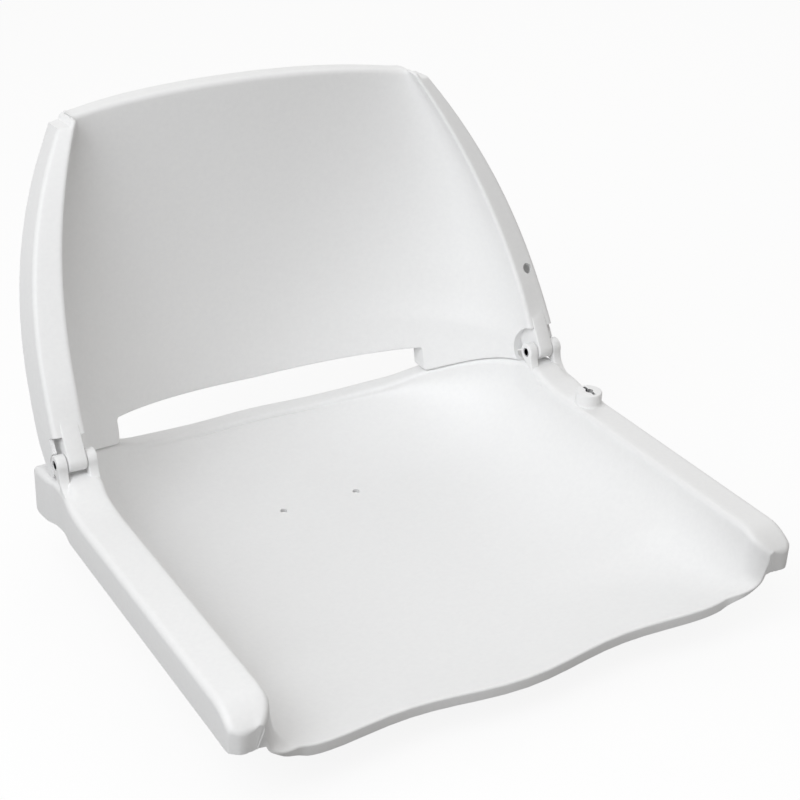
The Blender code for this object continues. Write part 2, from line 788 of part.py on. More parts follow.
def low_skirt(normal, column):
    """Returns along the cut-out and under the tabs: straight back, and square to the wall beside the hinge."""
    part, value = column
    square = Vector((-normal.x, -normal.y, 0.0)).normalized()
    if part != "panel":
        return LOW_ROUND, square, WALL - LOW_ROUND
    cut_end = panel_angle(CUT_HALF)
    share = (value - cut_end) / (TAB_END - cut_end)
    way = mix(BACK, square, smooth_step(0.08, 0.74, share)).normalized()
    deep = mix(WALL + RETURN_SPARE, LOW_DEPTH, smooth_step(1.0, 0.33, share))
    return LOW_ROUND, way, deep - LOW_ROUND


# Building the pieces.

def mirrored(build):
    """Runs build for the left side and the right side and gathers what it makes."""
    return [thing for side in (-1.0, 1.0) for thing in build(side)]


def span(side, low, high):
    return (side * low, side * high) if side > 0 else (side * high, side * low)


def ear_outline():
    """Side view of an ear: a round head that leans back from its root, with a fillet onto the rail ahead."""
    foot = RAIL_TOP_HINGE - EAR_ROOT
    turn = math.radians(EAR_BACK_TURN)
    drop = -EAR_RADIUS * math.sin(turn) - RAIL_TOP_HINGE
    rear = EAR_RADIUS * math.cos(turn) - drop * math.tan(turn)
    height = RAIL_TOP_HINGE - EAR_FILLET_SINK + EAR_FILLET
    apart = EAR_RADIUS + EAR_FILLET
    touch = math.degrees(math.asin(height / apart))
    ahead = -apart * math.cos(math.radians(touch))
    outline = [(rear, foot), (rear, RAIL_TOP_HINGE)]
    outline += arc(0.0, 0.0, EAR_RADIUS, -EAR_BACK_TURN, 180 - touch, 16)
    outline += arc(ahead, height, EAR_FILLET, -touch, -84, 7)[1:]
    outline += [(ahead, foot)]
    return outline


def saddle_outline():
    """Side view of the saddle: level under the knuckle, then down onto the rail."""
    foot = RAIL_TOP_HINGE - EAR_ROOT
    low = rail_top(EAR_OUTER, SADDLE_FRONT) - SADDLE_SINK
    outline = [(SADDLE_FRONT, foot), (SADDLE_REAR, foot), (SADDLE_REAR, SADDLE_TOP)]
    for k in range(9):
        outline.append((mix(SADDLE_LEVEL, SADDLE_FRONT, k / 8), mix(SADDLE_TOP, low, smooth_step(0.0, 1.0, k / 8))))
    return outline


def make_ears(side):
    """The ears of one hinge and the saddle between them."""
    ears = []
    for low in (EAR_INNER, EAR_OUTER - EAR_THICK):
        ears.append(prism("ear", ear_outline(), *span(side, low, low + EAR_THICK), along_x))
    reach = span(side, PAN_HALF + SADDLE_INSET, EAR_OUTER - SADDLE_INSET)
    ears.append(prism("saddle", saddle_outline(), *reach, along_x))
    return ears


def rib_outline(spots):
    """Outline of a rib along the places in spots, from inside the pan's wall down to the rib's depth."""
    lowest = RIB_LIFT - MOUNT_DROP
    upper = [(along, pan_height(x, y) - WALL / 2) for along, x, y in spots]
    lower = [(along, max(lowest, pan_height(x, y) - WALL - RIB_DEPTH)) for along, x, y in spots]
    return lower + upper[::-1]


def make_ribs():
    """Ribs under the pan: along and across, through the four bosses."""
    ribs = []
    half = BOLT_PITCH / 2
    for x in (-half, half):
        places = [mix(RIB_END - SEAT_FRONT, RIM_REACH - RIB_END, k / 12) for k in range(13)]
        outline = rib_outline([(y, x, y) for y in places])
        ribs.append(prism("rib", outline, x - RIB_THICK / 2, x + RIB_THICK / 2, along_x))
    for y in (BOLT_Y - half, BOLT_Y + half):
        places = [mix(RIB_SIDE - PAN_HALF, PAN_HALF - RIB_SIDE, k / 16) for k in range(17)]
        outline = rib_outline([(x, x, y) for x in places])
        ribs.append(prism("rib", outline, y - RIB_THICK / 2, y + RIB_THICK / 2, along_y))
    return ribs


def wall_reach(y, z):
    """Half width of the pan's inside at a height on the side wall."""
    top = rail_height(y) - RIM_ROUND
    depth = min(1.0, max(0.0, (top - z) / (top - floor_height(PAN_HALF, y))))
    return PAN_HALF * (1.0 - depth * depth) ** (1.0 / wall_power(y))


def make_gussets(side):
    """Cross walls inside the hollow rail, from the middle of one wall to the middle of the other."""
    gussets = []
    outer_x = SEAT_WIDTH / 2 - WALL / 2
    round_x = SEAT_WIDTH / 2 - RAIL_ROUND
    low = RAIL_BOTTOM + GUSSET_LIFT
    for k in range(GUSSET_COUNT):
        y = GUSSET_FIRST - SEAT_FRONT + GUSSET_PITCH * k
        edge = rail_top(round_x, y)
        rim = rail_height(y)
        heights = [mix(rim - WALL, low, n / 4) for n in range(5)]
        outline = [(side * outer_x, low), (side * outer_x, edge - RAIL_ROUND), (side * round_x, edge - WALL / 2)]
        outline += [(side * (PAN_HALF + RIM_ROUND), rim - WALL / 2)]
        outline += [(side * (wall_reach(y, z) + WALL / 2), z) for z in heights]
        gussets.append(prism("gusset", outline, y - RIB_THICK / 2, y + RIB_THICK / 2, along_y))
    return gussets


def bolt_places():
    half = BOLT_PITCH / 2
    return {
        "front_left": (-half, BOLT_Y - half),
        "front_right": (half, BOLT_Y - half),
        "rear_left": (-half, BOLT_Y + half),
        "rear_right": (half, BOLT_Y + half),
    }


def slot_outline():
    """The boss's slot: narrow along the rail, with a round socket in the middle."""
    half, wide = BOSS_SLOT_LONG / 2, BOSS_SLOT_WIDE / 2
    lean = math.degrees(math.asin(wide / BOSS_SOCKET))
    outline = [(wide, half), (-wide, half)]
    outline += arc(0, 0, BOSS_SOCKET, 90 + lean, 270 - lean, 8)
    outline += [(-wide, -half), (wide, -half)]
    outline += arc(0, 0, BOSS_SOCKET, 270 + lean, 450 - lean, 8)
    return [(BOSS_X + u, BOSS_Y + v) for u, v in outline]


def make_seat(material):
    body = solid("seat_shell", *moulded_shell(*seat_skin()), material)
    added = mirrored(make_ears) + make_ribs() + mirrored(make_gussets)
    for x, y in bolt_places().values():
        top = pan_height(x, y) - WALL / 2
        added.append(prism("pad", disc(x, y, PAD_RADIUS, 28), -MOUNT_DROP, top, along_z))
    ring = disc(BOSS_X, BOSS_Y, BOSS_RADIUS, 28)
    added.append(prism("boss", ring, rail_top(BOSS_X, BOSS_Y) - WALL * 0.6, BOSS_TOP, along_z))
    merge(body, added, "UNION")
    cuts = []
    for side in (-1.0, 1.0):
        reach = span(side, EAR_INNER - CUT_SPARE, EAR_OUTER + CUT_SPARE)
        cuts.append(prism("bore", disc(0, 0, PIN_RADIUS + PIECE_GAP), *reach, along_x))
        floor = pan_height(DRAIN_X, DRAIN_Y)
        ring = disc(side * DRAIN_X, DRAIN_Y, DRAIN_RADIUS, 16)
        cuts.append(prism("drain", ring, floor - WALL - CUT_SPARE, floor + CUT_SPARE, along_z))
    for x, y in bolt_places().values():
        ring = disc(x, y, INSERT_RADIUS + PIECE_GAP)
        top = INSERT_LONG + SOCKET_SPARE - MOUNT_DROP
        cuts.append(prism("socket", ring, -MOUNT_DROP - CUT_SPARE, top, along_z))
    cuts.append(prism("slot", slot_outline(), BOSS_TOP - BOSS_SLOT_DEEP, BOSS_TOP + CUT_SPARE, along_z))
    merge(body, cuts, "DIFFERENCE")
    return shade(body)


def on_border(ahead, above):
    """A place in the side view, measured along the border's outward and upward directions."""
    spot = FACE_OUT * ahead + FACE_UP * above
    return spot.y, spot.z


def tongue_outline():
    """Side view of the knuckle and of the tongue that ties it into the border."""
    barrel = BORDER_AHEAD + KNUCKLE_PROUD
    front = math.degrees(math.atan2(FACE_OUT.z, FACE_OUT.y))
    outline = arc(0.0, 0.0, barrel, front, front + 180, 14)
    outline += [on_border(-TONGUE_DEEP, TONGUE_DEEP_LOW), on_border(-TONGUE_DEEP, TONGUE_RISE)]
    outline += [on_border(BORDER_AHEAD - WALL * 0.6, TONGUE_TOP)]
    outline += [on_border(BORDER_AHEAD - WALL * 0.5, TONGUE_LOW)]
    return outline


def make_tongue(side):
    reach = span(side, KNUCKLE_INNER + TONGUE_INSET, KNUCKLE_OUTER - TONGUE_INSET)
    return [prism("tongue", tongue_outline(), *reach, along_x)]


def make_relief(side):
    """Clearances beside the knuckle, where the ears pass, and below it."""
    cuts = []
    below = [on_border(-RELIEF_BEHIND, -TONGUE_INSET), on_border(RELIEF_AHEAD, -TONGUE_INSET)]
    below += [on_border(RELIEF_AHEAD, -RELIEF_BELOW), on_border(-RELIEF_BEHIND, -RELIEF_BELOW)]
    reach = span(side, KNUCKLE_INNER - RELIEF_LOW_INNER, KNUCKLE_OUTER + RELIEF_LOW_OUTER)
    cuts.append(prism("relief", below, *reach, along_x))
    reach = span(side, KNUCKLE_INNER - RELIEF_INNER, KNUCKLE_INNER)
    cuts.append(prism("relief", disc(0, 0, EAR_RELIEF, 40), *reach, along_x))
    outer = span(side, KNUCKLE_OUTER, KNUCKLE_OUTER + RELIEF_OUTER)
    swept = arc(0, 0, EAR_RELIEF, RELIEF_FROM, RELIEF_STEP, 18)
    swept += arc(0, 0, RELIEF_AHEAD, RELIEF_STEP, RELIEF_TO, 12)
    swept += arc(0, 0, EAR_RADIUS + HEAD_GAP, RELIEF_TO, RELIEF_FROM + 360, 12)
    cuts.append(prism("relief", swept, *outer, along_x))
    top, bottom = RAIL_TOP_HINGE + SIDE_LIFT, -RELIEF_BELOW
    ahead, behind = -RELIEF_BELOW, RELIEF_BELOW
    under = [(ahead, bottom), (behind, bottom), (behind, top), (ahead, top)]
    reach = span(side, KNUCKLE_OUTER + 2 * TONGUE_INSET, KNUCKLE_OUTER + RELIEF_OUTER - TONGUE_INSET)
    cuts.append(prism("relief", under, *reach, along_x))
    return cuts


def make_back(material):
    body = solid("backrest_shell", *moulded_shell(*back_skin()), material)
    merge(body, mirrored(make_relief), "DIFFERENCE")
    merge(body, mirrored(make_tongue), "UNION")
    cuts = []
    for side in (-1.0, 1.0):
        reach = span(side, KNUCKLE_INNER - CUT_SPARE, KNUCKLE_OUTER + CUT_SPARE)
        cuts.append(prism("bore", disc(0, 0, PIN_RADIUS + PIECE_GAP), *reach, along_x))
    middle = FACE_UP * math.hypot(BOSS_Y, BORDER_AHEAD) + Vector((BOSS_X, 0.0, 0.0))

    def to_face(u, v, w):
        return middle + Vector((u, 0.0, 0.0)) + FACE_UP * v + FACE_OUT * w

    ring = disc(0, 0, BORDER_HOLE, 20)
    cuts.append(prism("hole", ring, BORDER_AHEAD - WALL - CUT_SPARE, BORDER_AHEAD + 2 * CUT_SPARE, to_face))
    merge(body, cuts, "DIFFERENCE")
    return shade(body)


def make_pin(name, side, material):
    """A slotted spring pin: a tube with an open slot along it."""
    bore = PIN_RADIUS - PIN_WALL
    gap = math.degrees(math.asin(PIN_SLOT / 2 / PIN_RADIUS))
    inner_gap = math.degrees(math.asin(PIN_SLOT / 2 / bore))
    outline = arc(0, 0, PIN_RADIUS, 90 + gap, 450 - gap, 26)
    outline += arc(0, 0, bore, 450 - inner_gap, 90 + inner_gap, 20)
    pin = prism(name, outline, *span(side, EAR_INNER + PIN_SHORT, EAR_OUTER - PIN_SHORT), along_x)
    pin.data.materials.append(material)
    return shade(pin)


def insert_profile():
    """Section of a threaded insert from its lower end, as heights and radii: flange, sleeve, waist, bore."""
    sleeve = INSERT_RADIUS - INSERT_STEP
    waist = sleeve - INSERT_STEP
    middle = INSERT_LONG / 2
    profile = [(0.0, INSERT_RADIUS), (INSERT_FLANGE, INSERT_RADIUS), (INSERT_FLANGE + INSERT_STEP, sleeve)]
    profile += [(middle - INSERT_STEP, sleeve), (middle, waist)]
    profile += [(middle + 2 * INSERT_STEP, waist), (middle + 3 * INSERT_STEP, sleeve)]
    profile += [(INSERT_LONG - INSERT_STEP, sleeve), (INSERT_LONG, waist), (INSERT_LONG, INSERT_BORE)]
    profile += [(INSERT_STEP, INSERT_BORE), (0.0, INSERT_BORE + INSERT_STEP)]
    return profile


def make_insert(name, x, y, material):
    """A threaded insert: a flanged sleeve with a waist, open at both ends."""
    sides = 14
    foot = INSERT_SINK - MOUNT_DROP
    profile = insert_profile()
    points, faces = [], []
    for up, radius in profile:
        ring = disc(x, y, radius, sides)
        points += [Vector((u, v, foot + up)) for u, v in ring]
    rings = len(profile)
    for r in range(rings):
        for k in range(sides):
            n = (k + 1) % sides
            s = (r + 1) % rings
            faces.append((r * sides + k, r * sides + n, s * sides + n, s * sides + k))
    return shade(solid(name, points, faces, material))


def main():
    for thing in list(bpy.data.objects):
        bpy.data.objects.remove(thing)
    make_seat(plain_material("white moulded plastic", (0.86, 0.86, 0.85), 0.0, 0.45))
    make_back(plain_material("white moulded plastic back", (0.86, 0.86, 0.85), 0.0, 0.45))
    make_pin("hinge_pin_left", -1.0, plain_material("stainless pin left", (0.55, 0.55, 0.56), 1.0, 0.35))
    make_pin("hinge_pin_right", 1.0, plain_material("stainless pin right", (0.55, 0.55, 0.56), 1.0, 0.35))
    for place, (x, y) in bolt_places().items():
        brass = plain_material("brass " + place, (0.70, 0.52, 0.25), 1.0, 0.35)
        make_insert("mounting_insert_" + place, x, y, brass)


main()
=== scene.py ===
"""Looks of a fold-down moulded boat seat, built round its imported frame.

The two mouldings are made again here with a fine mesh, from the same rules as the frame's solids, in hinge
coordinates: x to the right of someone facing the seat, y to the back, z up, the hinge axis along x. The
hinge's place in the frame then moves them to where the frame's own pieces are.
"""

import json
import logging
import math
from dataclasses import dataclass, field
from enum import Enum
from typing import Callable, Sequence, TypeVar

import bpy
from mathutils import Matrix, Vector


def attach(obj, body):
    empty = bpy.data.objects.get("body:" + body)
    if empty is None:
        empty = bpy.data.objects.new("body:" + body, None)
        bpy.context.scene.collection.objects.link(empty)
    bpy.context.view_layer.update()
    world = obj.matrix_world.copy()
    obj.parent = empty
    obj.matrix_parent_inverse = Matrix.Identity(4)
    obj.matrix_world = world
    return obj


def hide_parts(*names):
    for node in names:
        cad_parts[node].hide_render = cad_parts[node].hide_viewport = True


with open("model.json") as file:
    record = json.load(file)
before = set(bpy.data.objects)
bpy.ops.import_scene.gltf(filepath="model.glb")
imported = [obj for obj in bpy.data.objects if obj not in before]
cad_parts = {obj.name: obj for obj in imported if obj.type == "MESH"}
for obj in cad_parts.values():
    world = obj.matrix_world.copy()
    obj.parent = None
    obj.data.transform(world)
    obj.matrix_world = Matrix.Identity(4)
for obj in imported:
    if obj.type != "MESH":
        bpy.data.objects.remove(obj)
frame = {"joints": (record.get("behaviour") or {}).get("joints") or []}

LOG = logging.getLogger("boat_seat")
HINGE = Vector(frame["joints"][0]["pos_m"])
DOWN = Vector((0.0, 0.0, -1.0))
BACK = Vector((0.0, 1.0, 0.0))
TINY = 1e-6
ROUND_STEPS = 3
HALVINGS = 40
# Smallest cosines of half a corner's bend that an inset and a skirt allow for.
INSET_LIMIT = 0.6
SKIRT_LIMIT = 0.8

Amount = TypeVar("Amount", float, Vector)
Outline = list[tuple[float, float]]
ToSpace = Callable[[float, float, float], Vector]


class Side(Enum):
    """The two sides of the seat, as someone facing it sees them."""

    LEFT = -1.0
    RIGHT = 1.0

    def span(self, low: float, high: float) -> tuple[float, float]:
        """Turns two distances from the middle into places across, the lower one first.

        Args:
            low: Distance from the middle of the nearer end.
            high: Distance from the middle of the farther end.

        Returns:
            The two places along x, in rising order.
        """
        ends = sorted((self.value * low, self.value * high))
        return ends[0], ends[1]


class Step(Enum):
    """What a boolean step does with its tools."""

    JOIN = "UNION"
    CUT = "DIFFERENCE"


class Zone(Enum):
    """Zones of a moulding's skin, from its middle to its border."""

    FLOOR = "floor"
    BOWL = "bowl"
    EDGE = "edge"
    BAND = "band"
    PANEL = "panel"
    SCOOP = "scoop"
    BORDER = "border"


Column = tuple[Zone, float]
Skirt = tuple[float, Vector, float]


def clamp(value: float) -> float:
    """Keeps a number between 0 and 1."""
    return min(1.0, max(0.0, value))


def smooth_step(low: float, high: float, value: float) -> float:
    """Goes from 0 to 1 with level ends.

    Args:
        low: Value at which the result is 0.
        high: Value at which the result is 1.
        value: Where to read the step.

    Returns:
        A number from 0 to 1.
    """
    t = clamp((value - low) / (high - low))
    return t * t * (3.0 - 2.0 * t)


def mix(a: Amount, b: Amount, t: float) -> Amount:
    """Goes from a to b, numbers or vectors, as t goes from 0 to 1."""
    return a + (b - a) * t


def arc(centre: tuple[float, float], radius: float, start: float, end: float, steps: int) -> Outline:
    """Points along an arc.

    Args:
        centre: Middle of the arc.
        radius: Radius of the arc.
        start: First angle, degrees.
        end: Last angle, degrees.
        steps: Number of pieces that the arc is divided into.

    Returns:
        The points, both ends among them.
    """
    angles = [math.radians(mix(start, end, k / steps)) for k in range(steps + 1)]
    return [(centre[0] + radius * math.cos(a), centre[1] + radius * math.sin(a)) for a in angles]


def disc(centre: tuple[float, float], radius: float, steps: int = 48) -> Outline:
    """Points of a full circle, the first not repeated."""
    return arc(centre, radius, 0.0, 360.0, steps)[:-1]


def signed_area(outline: Outline) -> float:
    """Twice the area of a closed outline, below 0 when it runs clockwise."""
    pairs = zip(outline, outline[1:] + outline[:1])
    return sum(a[0] * b[1] - b[0] * a[1] for a, b in pairs)


def inset(outline: Outline, distance: float) -> Outline:
    """Moves an outline inwards by a small distance.

    Args:
        outline: Closed outline, in either direction.
        distance: How far inwards.

    Returns:
        The moved outline, point for point.
    """
    count = len(outline)
    turn = 1.0 if signed_area(outline) > 0.0 else -1.0
    moved = []
    for i in range(count):
        here = Vector(outline[i])
        before = (here - Vector(outline[i - 1])).normalized()
        after = (Vector(outline[(i + 1) % count]) - here).normalized()
        bend = (before + after).normalized()
        inward = Vector((-bend.y, bend.x)) * turn
        spread = max(INSET_LIMIT, bend.dot(after))
        moved.append(tuple(here + inward * (distance / spread)))
    return moved


def along_x(u: float, v: float, w: float) -> Vector:
    """Sets an outline out in the side view, extruded across."""
    return Vector((w, u, v))


def along_y(u: float, v: float, w: float) -> Vector:
    """Sets an outline out in the front view, extruded along the seat."""
    return Vector((u, w, v))


def along_z(u: float, v: float, w: float) -> Vector:
    """Sets an outline out in plan, extruded upwards."""
    return Vector((u, v, w))


def ring_faces(first: Sequence[int], second: Sequence[int], flip: bool = False) -> list[tuple[int, ...]]:
    """Faces between two closed rings of as many points.

    Args:
        first: Points of one ring, by number.
        second: Points of the other ring, in the same order.
        flip: Whether the faces look the other way.

    Returns:
        One face of four corners for each point.
    """
    pairs = [(k, (k + 1) % len(first)) for k in range(len(first))]
    if flip:
        pairs = [(after, before) for before, after in pairs]
    return [(first[i], first[j], second[j], second[i]) for i, j in pairs]


@dataclass
class Draft:
    """Points and faces of a mesh in the making, in hinge coordinates."""

    points: list[Vector] = field(default_factory=list)
    faces: list[tuple[int, ...]] = field(default_factory=list)

    def add(self, other: "Draft") -> "Draft":
        """Takes another draft's points and faces in.

        Args:
            other: Draft to take in.

        Returns:
            This draft.
        """
        start = len(self.points)
        self.points += other.points
        self.faces += [tuple(start + k for k in face) for face in other.faces]
        return self

    def moved(self, by: Vector) -> "Draft":
        """A draft of the same faces with its points moved."""
        return Draft([point + by for point in self.points], self.faces)

    def flipped(self) -> "Draft":
        """A draft of the same points with its faces turned over."""
        return Draft(self.points, [face[::-1] for face in self.faces])

    def build(self, name: str) -> bpy.types.Object:
        """Makes an object of the draft, with its place at the hinge in its mesh.

        Args:
            name: Name of the object.

        Returns:
            The object, linked to the scene.
        """
        mesh = bpy.data.meshes.new(name)
        mesh.from_pydata([tuple(p + HINGE) for p in self.points], [], self.faces)
        mesh.validate()
        thing = bpy.data.objects.new(name, mesh)
        bpy.context.scene.collection.objects.link(thing)
        return thing


def prism(outline: Outline, low: float, high: float, to_space: ToSpace, round_off: float = 0.0) -> Draft:
    """Extrudes an outline, with its two ends rounded off.

    Args:
        outline: Closed outline.
        low: Where the extrusion starts.
        high: Where it ends.
        to_space: Turns outline and extrusion coordinates into space.
        round_off: Radius of the rounded ends, 0 for square ones.

    Returns:
        A closed draft with its faces outwards.
    """
    levels = [(outline, low), (outline, high)]
    if round_off > 0.0:
        turns = [math.radians(90.0 * k / ROUND_STEPS) for k in range(ROUND_STEPS + 1)]
        rim = [(inset(outline, round_off * (1.0 - math.sin(a))), round_off * (1.0 - math.cos(a))) for a in turns]
        levels = [(ring, low + down) for ring, down in rim]
        levels += [(ring, high - down) for ring, down in rim[::-1]]
    draft = Draft()
    count = len(outline)
    for ring, level in levels:
        draft.points += [to_space(u, v, level) for u, v in ring]
    last = len(draft.points) - count
    draft.faces += [tuple(range(count))[::-1], tuple(range(last, last + count))]
    for start in range(0, last, count):
        draft.faces += ring_faces(range(start, start + count), range(start + count, start + 2 * count))
    origin = to_space(0, 0, 0)
    across = (to_space(1, 0, 0) - origin).cross(to_space(0, 1, 0) - origin)
    handed = across.dot(to_space(0, 0, 1) - origin)
    return draft.flipped() if handed * signed_area(outline) < 0.0 else draft


def lathe(profile: Outline, sides: int) -> Draft:
    """Turns a closed profile of heights and radii round a vertical axis.

    Args:
        profile: Heights and radii, up the outside and down the inside.
        sides: Number of sides of each ring.

    Returns:
        A closed ring, its axis on the origin.
    """
    draft = Draft()
    for up, radius in profile:
        draft.points += [Vector((u, v, up)) for u, v in disc((0.0, 0.0), radius, sides)]
    rings = [range(start, start + sides) for start in range(0, len(draft.points), sides)]
    for first, second in zip(rings, rings[1:] + rings[:1]):
        draft.faces += ring_faces(first, second)
    return draft


def corner_normals(points: Sequence[Vector], faces: Sequence[tuple[int, ...]]) -> list[Vector]:
    """Normals at the points of an open skin.

    Args:
        points: Points of the skin.
        faces: Faces of the skin, of three or four corners.

    Returns:
        One unit normal for each point.
    """
    normals = [Vector() for _ in points]
    for face in faces:
        a, b, c = points[face[0]], points[face[1]], points[face[2]]
        across = (b - a).cross(c - a)
        if len(face) == 4:
            across += (c - a).cross(points[face[3]] - a)
        for k in face:
            normals[k] += across
    return [n.normalized() for n in normals]


def combine(body: bpy.types.Object, steps: Sequence[tuple[Step, Draft]]) -> None:
    """Joins drafts to a body, or cuts them out of it.

    Args:
        body: Object that changes.
        steps: What to do with each draft, in order.
    """
    tools = []
    for step, draft in steps:
        tool = draft.build("tool")
        tool.hide_render = True
        tool.display_type = "WIRE"
        change = body.modifiers.new(step.name, "BOOLEAN")
        change.operation = step.value
        change.solver = "EXACT"
        change.use_self = True
        change.object = tool
        tools.append(tool)
    body.data = as_mesh(body)
    body.modifiers.clear()
    for tool in tools:
        bpy.data.objects.remove(tool)


def as_mesh(thing: bpy.types.Object) -> bpy.types.Mesh:
    """Reads what an object's modifiers make of it as a plain mesh."""
    graph = bpy.context.evaluated_depsgraph_get()
    return bpy.data.meshes.new_from_object(thing.evaluated_get(graph))


def shade(thing: bpy.types.Object, sharp: float = 32.0) -> None:
    """Shades an object smooth, with its edges sharp past an angle in degrees."""
    thing.data.shade_smooth()
    thing.data.set_sharp_from_angle(angle=math.radians(sharp))


# Finishes.

@dataclass
class MaterialGraph:
    """A material's nodes in the making."""

    name: str

    def __post_init__(self) -> None:
        """Starts the material with its Principled shader."""
        self.material = bpy.data.materials.new(self.name)
        self.material.use_nodes = True
        self.tree = self.material.node_tree
        self.shader = self.tree.nodes["Principled BSDF"]
        self.place = self.tree.nodes.new("ShaderNodeTexCoord").outputs["Object"]

    def node(self, kind: str, links: dict[str, bpy.types.NodeSocket], **values: float) -> bpy.types.Node:
        """Adds a node.

        Args:
            kind: Blender's name for the node's type.
            links: Sockets that feed the node's inputs, by input name.
            **values: Input values, by input name with _ for a space.

        Returns:
            The node.
        """
        made = self.tree.nodes.new(kind)
        for key, value in values.items():
            made.inputs[key.replace("_", " ")].default_value = value
        for key, source in links.items():
            self.tree.links.new(source, made.inputs[key])
        return made

    def noise(self, scale: float, detail: float, rough: float = 0.5,
              place: bpy.types.NodeSocket | None = None) -> bpy.types.NodeSocket:
        """Adds a noise pattern on the object's own coordinates and gives its value."""
        made = self.node("ShaderNodeTexNoise", {"Vector": place or self.place},
                         Scale=scale, Detail=detail, Roughness=rough)
        return made.outputs["Fac"]

    def spread(self, source: bpy.types.NodeSocket, low: float, high: float,
               start: float = 0.3, end: float = 0.7) -> bpy.types.NodeSocket:
        """Maps the range start to end of a value onto low to high."""
        made = self.tree.nodes.new("ShaderNodeMapRange")
        for key, value in (("From Min", start), ("From Max", end), ("To Min", low), ("To Max", high)):
            made.inputs[key].default_value = value
        self.tree.links.new(source, made.inputs["Value"])
        return made.outputs["Result"]

    def blend(self, amount: bpy.types.NodeSocket, first: Sequence[float],
              second: Sequence[float]) -> bpy.types.NodeSocket:
        """Mixes two colours by an amount."""
        made = self.tree.nodes.new("ShaderNodeMix")
        made.data_type = "RGBA"
        made.inputs[6].default_value = (*first, 1.0)
        made.inputs[7].default_value = (*second, 1.0)
        self.tree.links.new(amount, made.inputs[0])
        return made.outputs[2]

    def feed(self, source: bpy.types.NodeSocket, name: str) -> None:
        """Links a socket to one of the shader's inputs."""
        self.tree.links.new(source, self.shader.inputs[name])

    def bump(self, height: bpy.types.NodeSocket, depth: float, under: bpy.types.NodeSocket | None = None,
             strength: float = 1.0) -> bpy.types.NodeSocket:
        """Turns a height pattern of the given depth into a normal, on top of another one if there is one."""
        links = {"Height": height}
        if under is not None:
            links["Normal"] = under
        made = self.node("ShaderNodeBump", links, Strength=strength, Distance=depth)
        return made.outputs["Normal"]


@dataclass(frozen=True)
class MouldedPlastic:
    """White injection-moulded plastic: a fine spark-eroded grain over slow sink and flow marks."""

    name: str
    colour: tuple[float, float, float] = (0.865, 0.868, 0.868)
    shade: tuple[float, float, float] = (0.842, 0.845, 0.848)
    roughness: float = 0.46
    smoother: float = 0.05
    rougher: float = 0.07
    specular: float = 0.42
    grain: float = 1500.0
    grain_depth: float = 0.00006
    grain_strength: float = 0.55
    grain_detail: float = 2.0
    grain_break: float = 0.6
    mottle_coarser: float = 6.0
    mottle_detail: float = 3.0
    flow: float = 16.0
    flow_depth: float = 0.0004
    flow_strength: float = 0.35
    flow_detail: float = 2.0

    def material(self) -> bpy.types.Material:
        """Makes the material.

        Returns:
            The plastic with its grain.
        """
        graph = MaterialGraph(self.name)
        slow = graph.noise(self.flow, self.flow_detail)
        fine = graph.noise(self.grain, self.grain_detail, self.grain_break)
        mottle = graph.noise(self.grain / self.mottle_coarser, self.mottle_detail, self.grain_break)
        graph.feed(graph.blend(graph.spread(mottle, 0.0, 1.0), self.colour, self.shade), "Base Color")
        graph.feed(graph.spread(fine, self.roughness - self.smoother, self.roughness + self.rougher), "Roughness")
        waves = graph.bump(slow, self.flow_depth, strength=self.flow_strength)
        pits = graph.bump(fine, self.grain_depth, waves, self.grain_strength)
        graph.feed(pits, "Normal")
        graph.shader.inputs["Specular IOR Level"].default_value = self.specular
        return graph.material


@dataclass(frozen=True)
class WorkedMetal:
    """Bare metal with the fine lines that its tool left, and stains."""

    name: str
    colour: tuple[float, float, float]
    stain: tuple[float, float, float]
    roughness: float
    smoother: float
    rougher: float
    stretch: tuple[float, float, float]
    line: float
    line_detail: float
    line_break: float
    stain_size: float
    line_depth: float = 0.00003
    stain_detail: float = 4.0

    def material(self) -> bpy.types.Material:
        """Makes the material.

        Returns:
            The metal with its lines and stains.
        """
        graph = MaterialGraph(self.name)
        drawn = graph.node("ShaderNodeMapping", {"Vector": graph.place})
        drawn.inputs["Scale"].default_value = self.stretch
        lines = graph.noise(self.line, self.line_detail, self.line_break, drawn.outputs["Vector"])
        stains = graph.noise(self.stain_size, self.stain_detail)
        graph.feed(graph.blend(graph.spread(stains, 0.0, 1.0), self.colour, self.stain), "Base Color")
        graph.feed(graph.spread(lines, self.roughness - self.smoother, self.roughness + self.rougher), "Roughness")
        graph.feed(graph.bump(lines, self.line_depth), "Normal")
        graph.shader.inputs["Metallic"].default_value = 1.0
        return graph.material


# Dull stainless steel drawn along the pin, and brass turned round the insert's axis.
SPRING_STEEL = WorkedMetal(
    "spring steel", colour=(0.50, 0.50, 0.51), stain=(0.36, 0.36, 0.37), roughness=0.34, smoother=0.08,
    rougher=0.12, stretch=(0.04, 1.0, 1.0), line=4200.0, line_detail=3.0, line_break=0.6, stain_size=420.0)
TURNED_BRASS = WorkedMetal(
    "turned brass", colour=(0.72, 0.53, 0.25), stain=(0.50, 0.36, 0.17), roughness=0.32, smoother=0.06,
    rougher=0.14, stretch=(0.1, 0.1, 1.0), line=5200.0, line_detail=2.0, line_break=0.5, stain_size=260.0)


# Sizes that the two mouldings share.

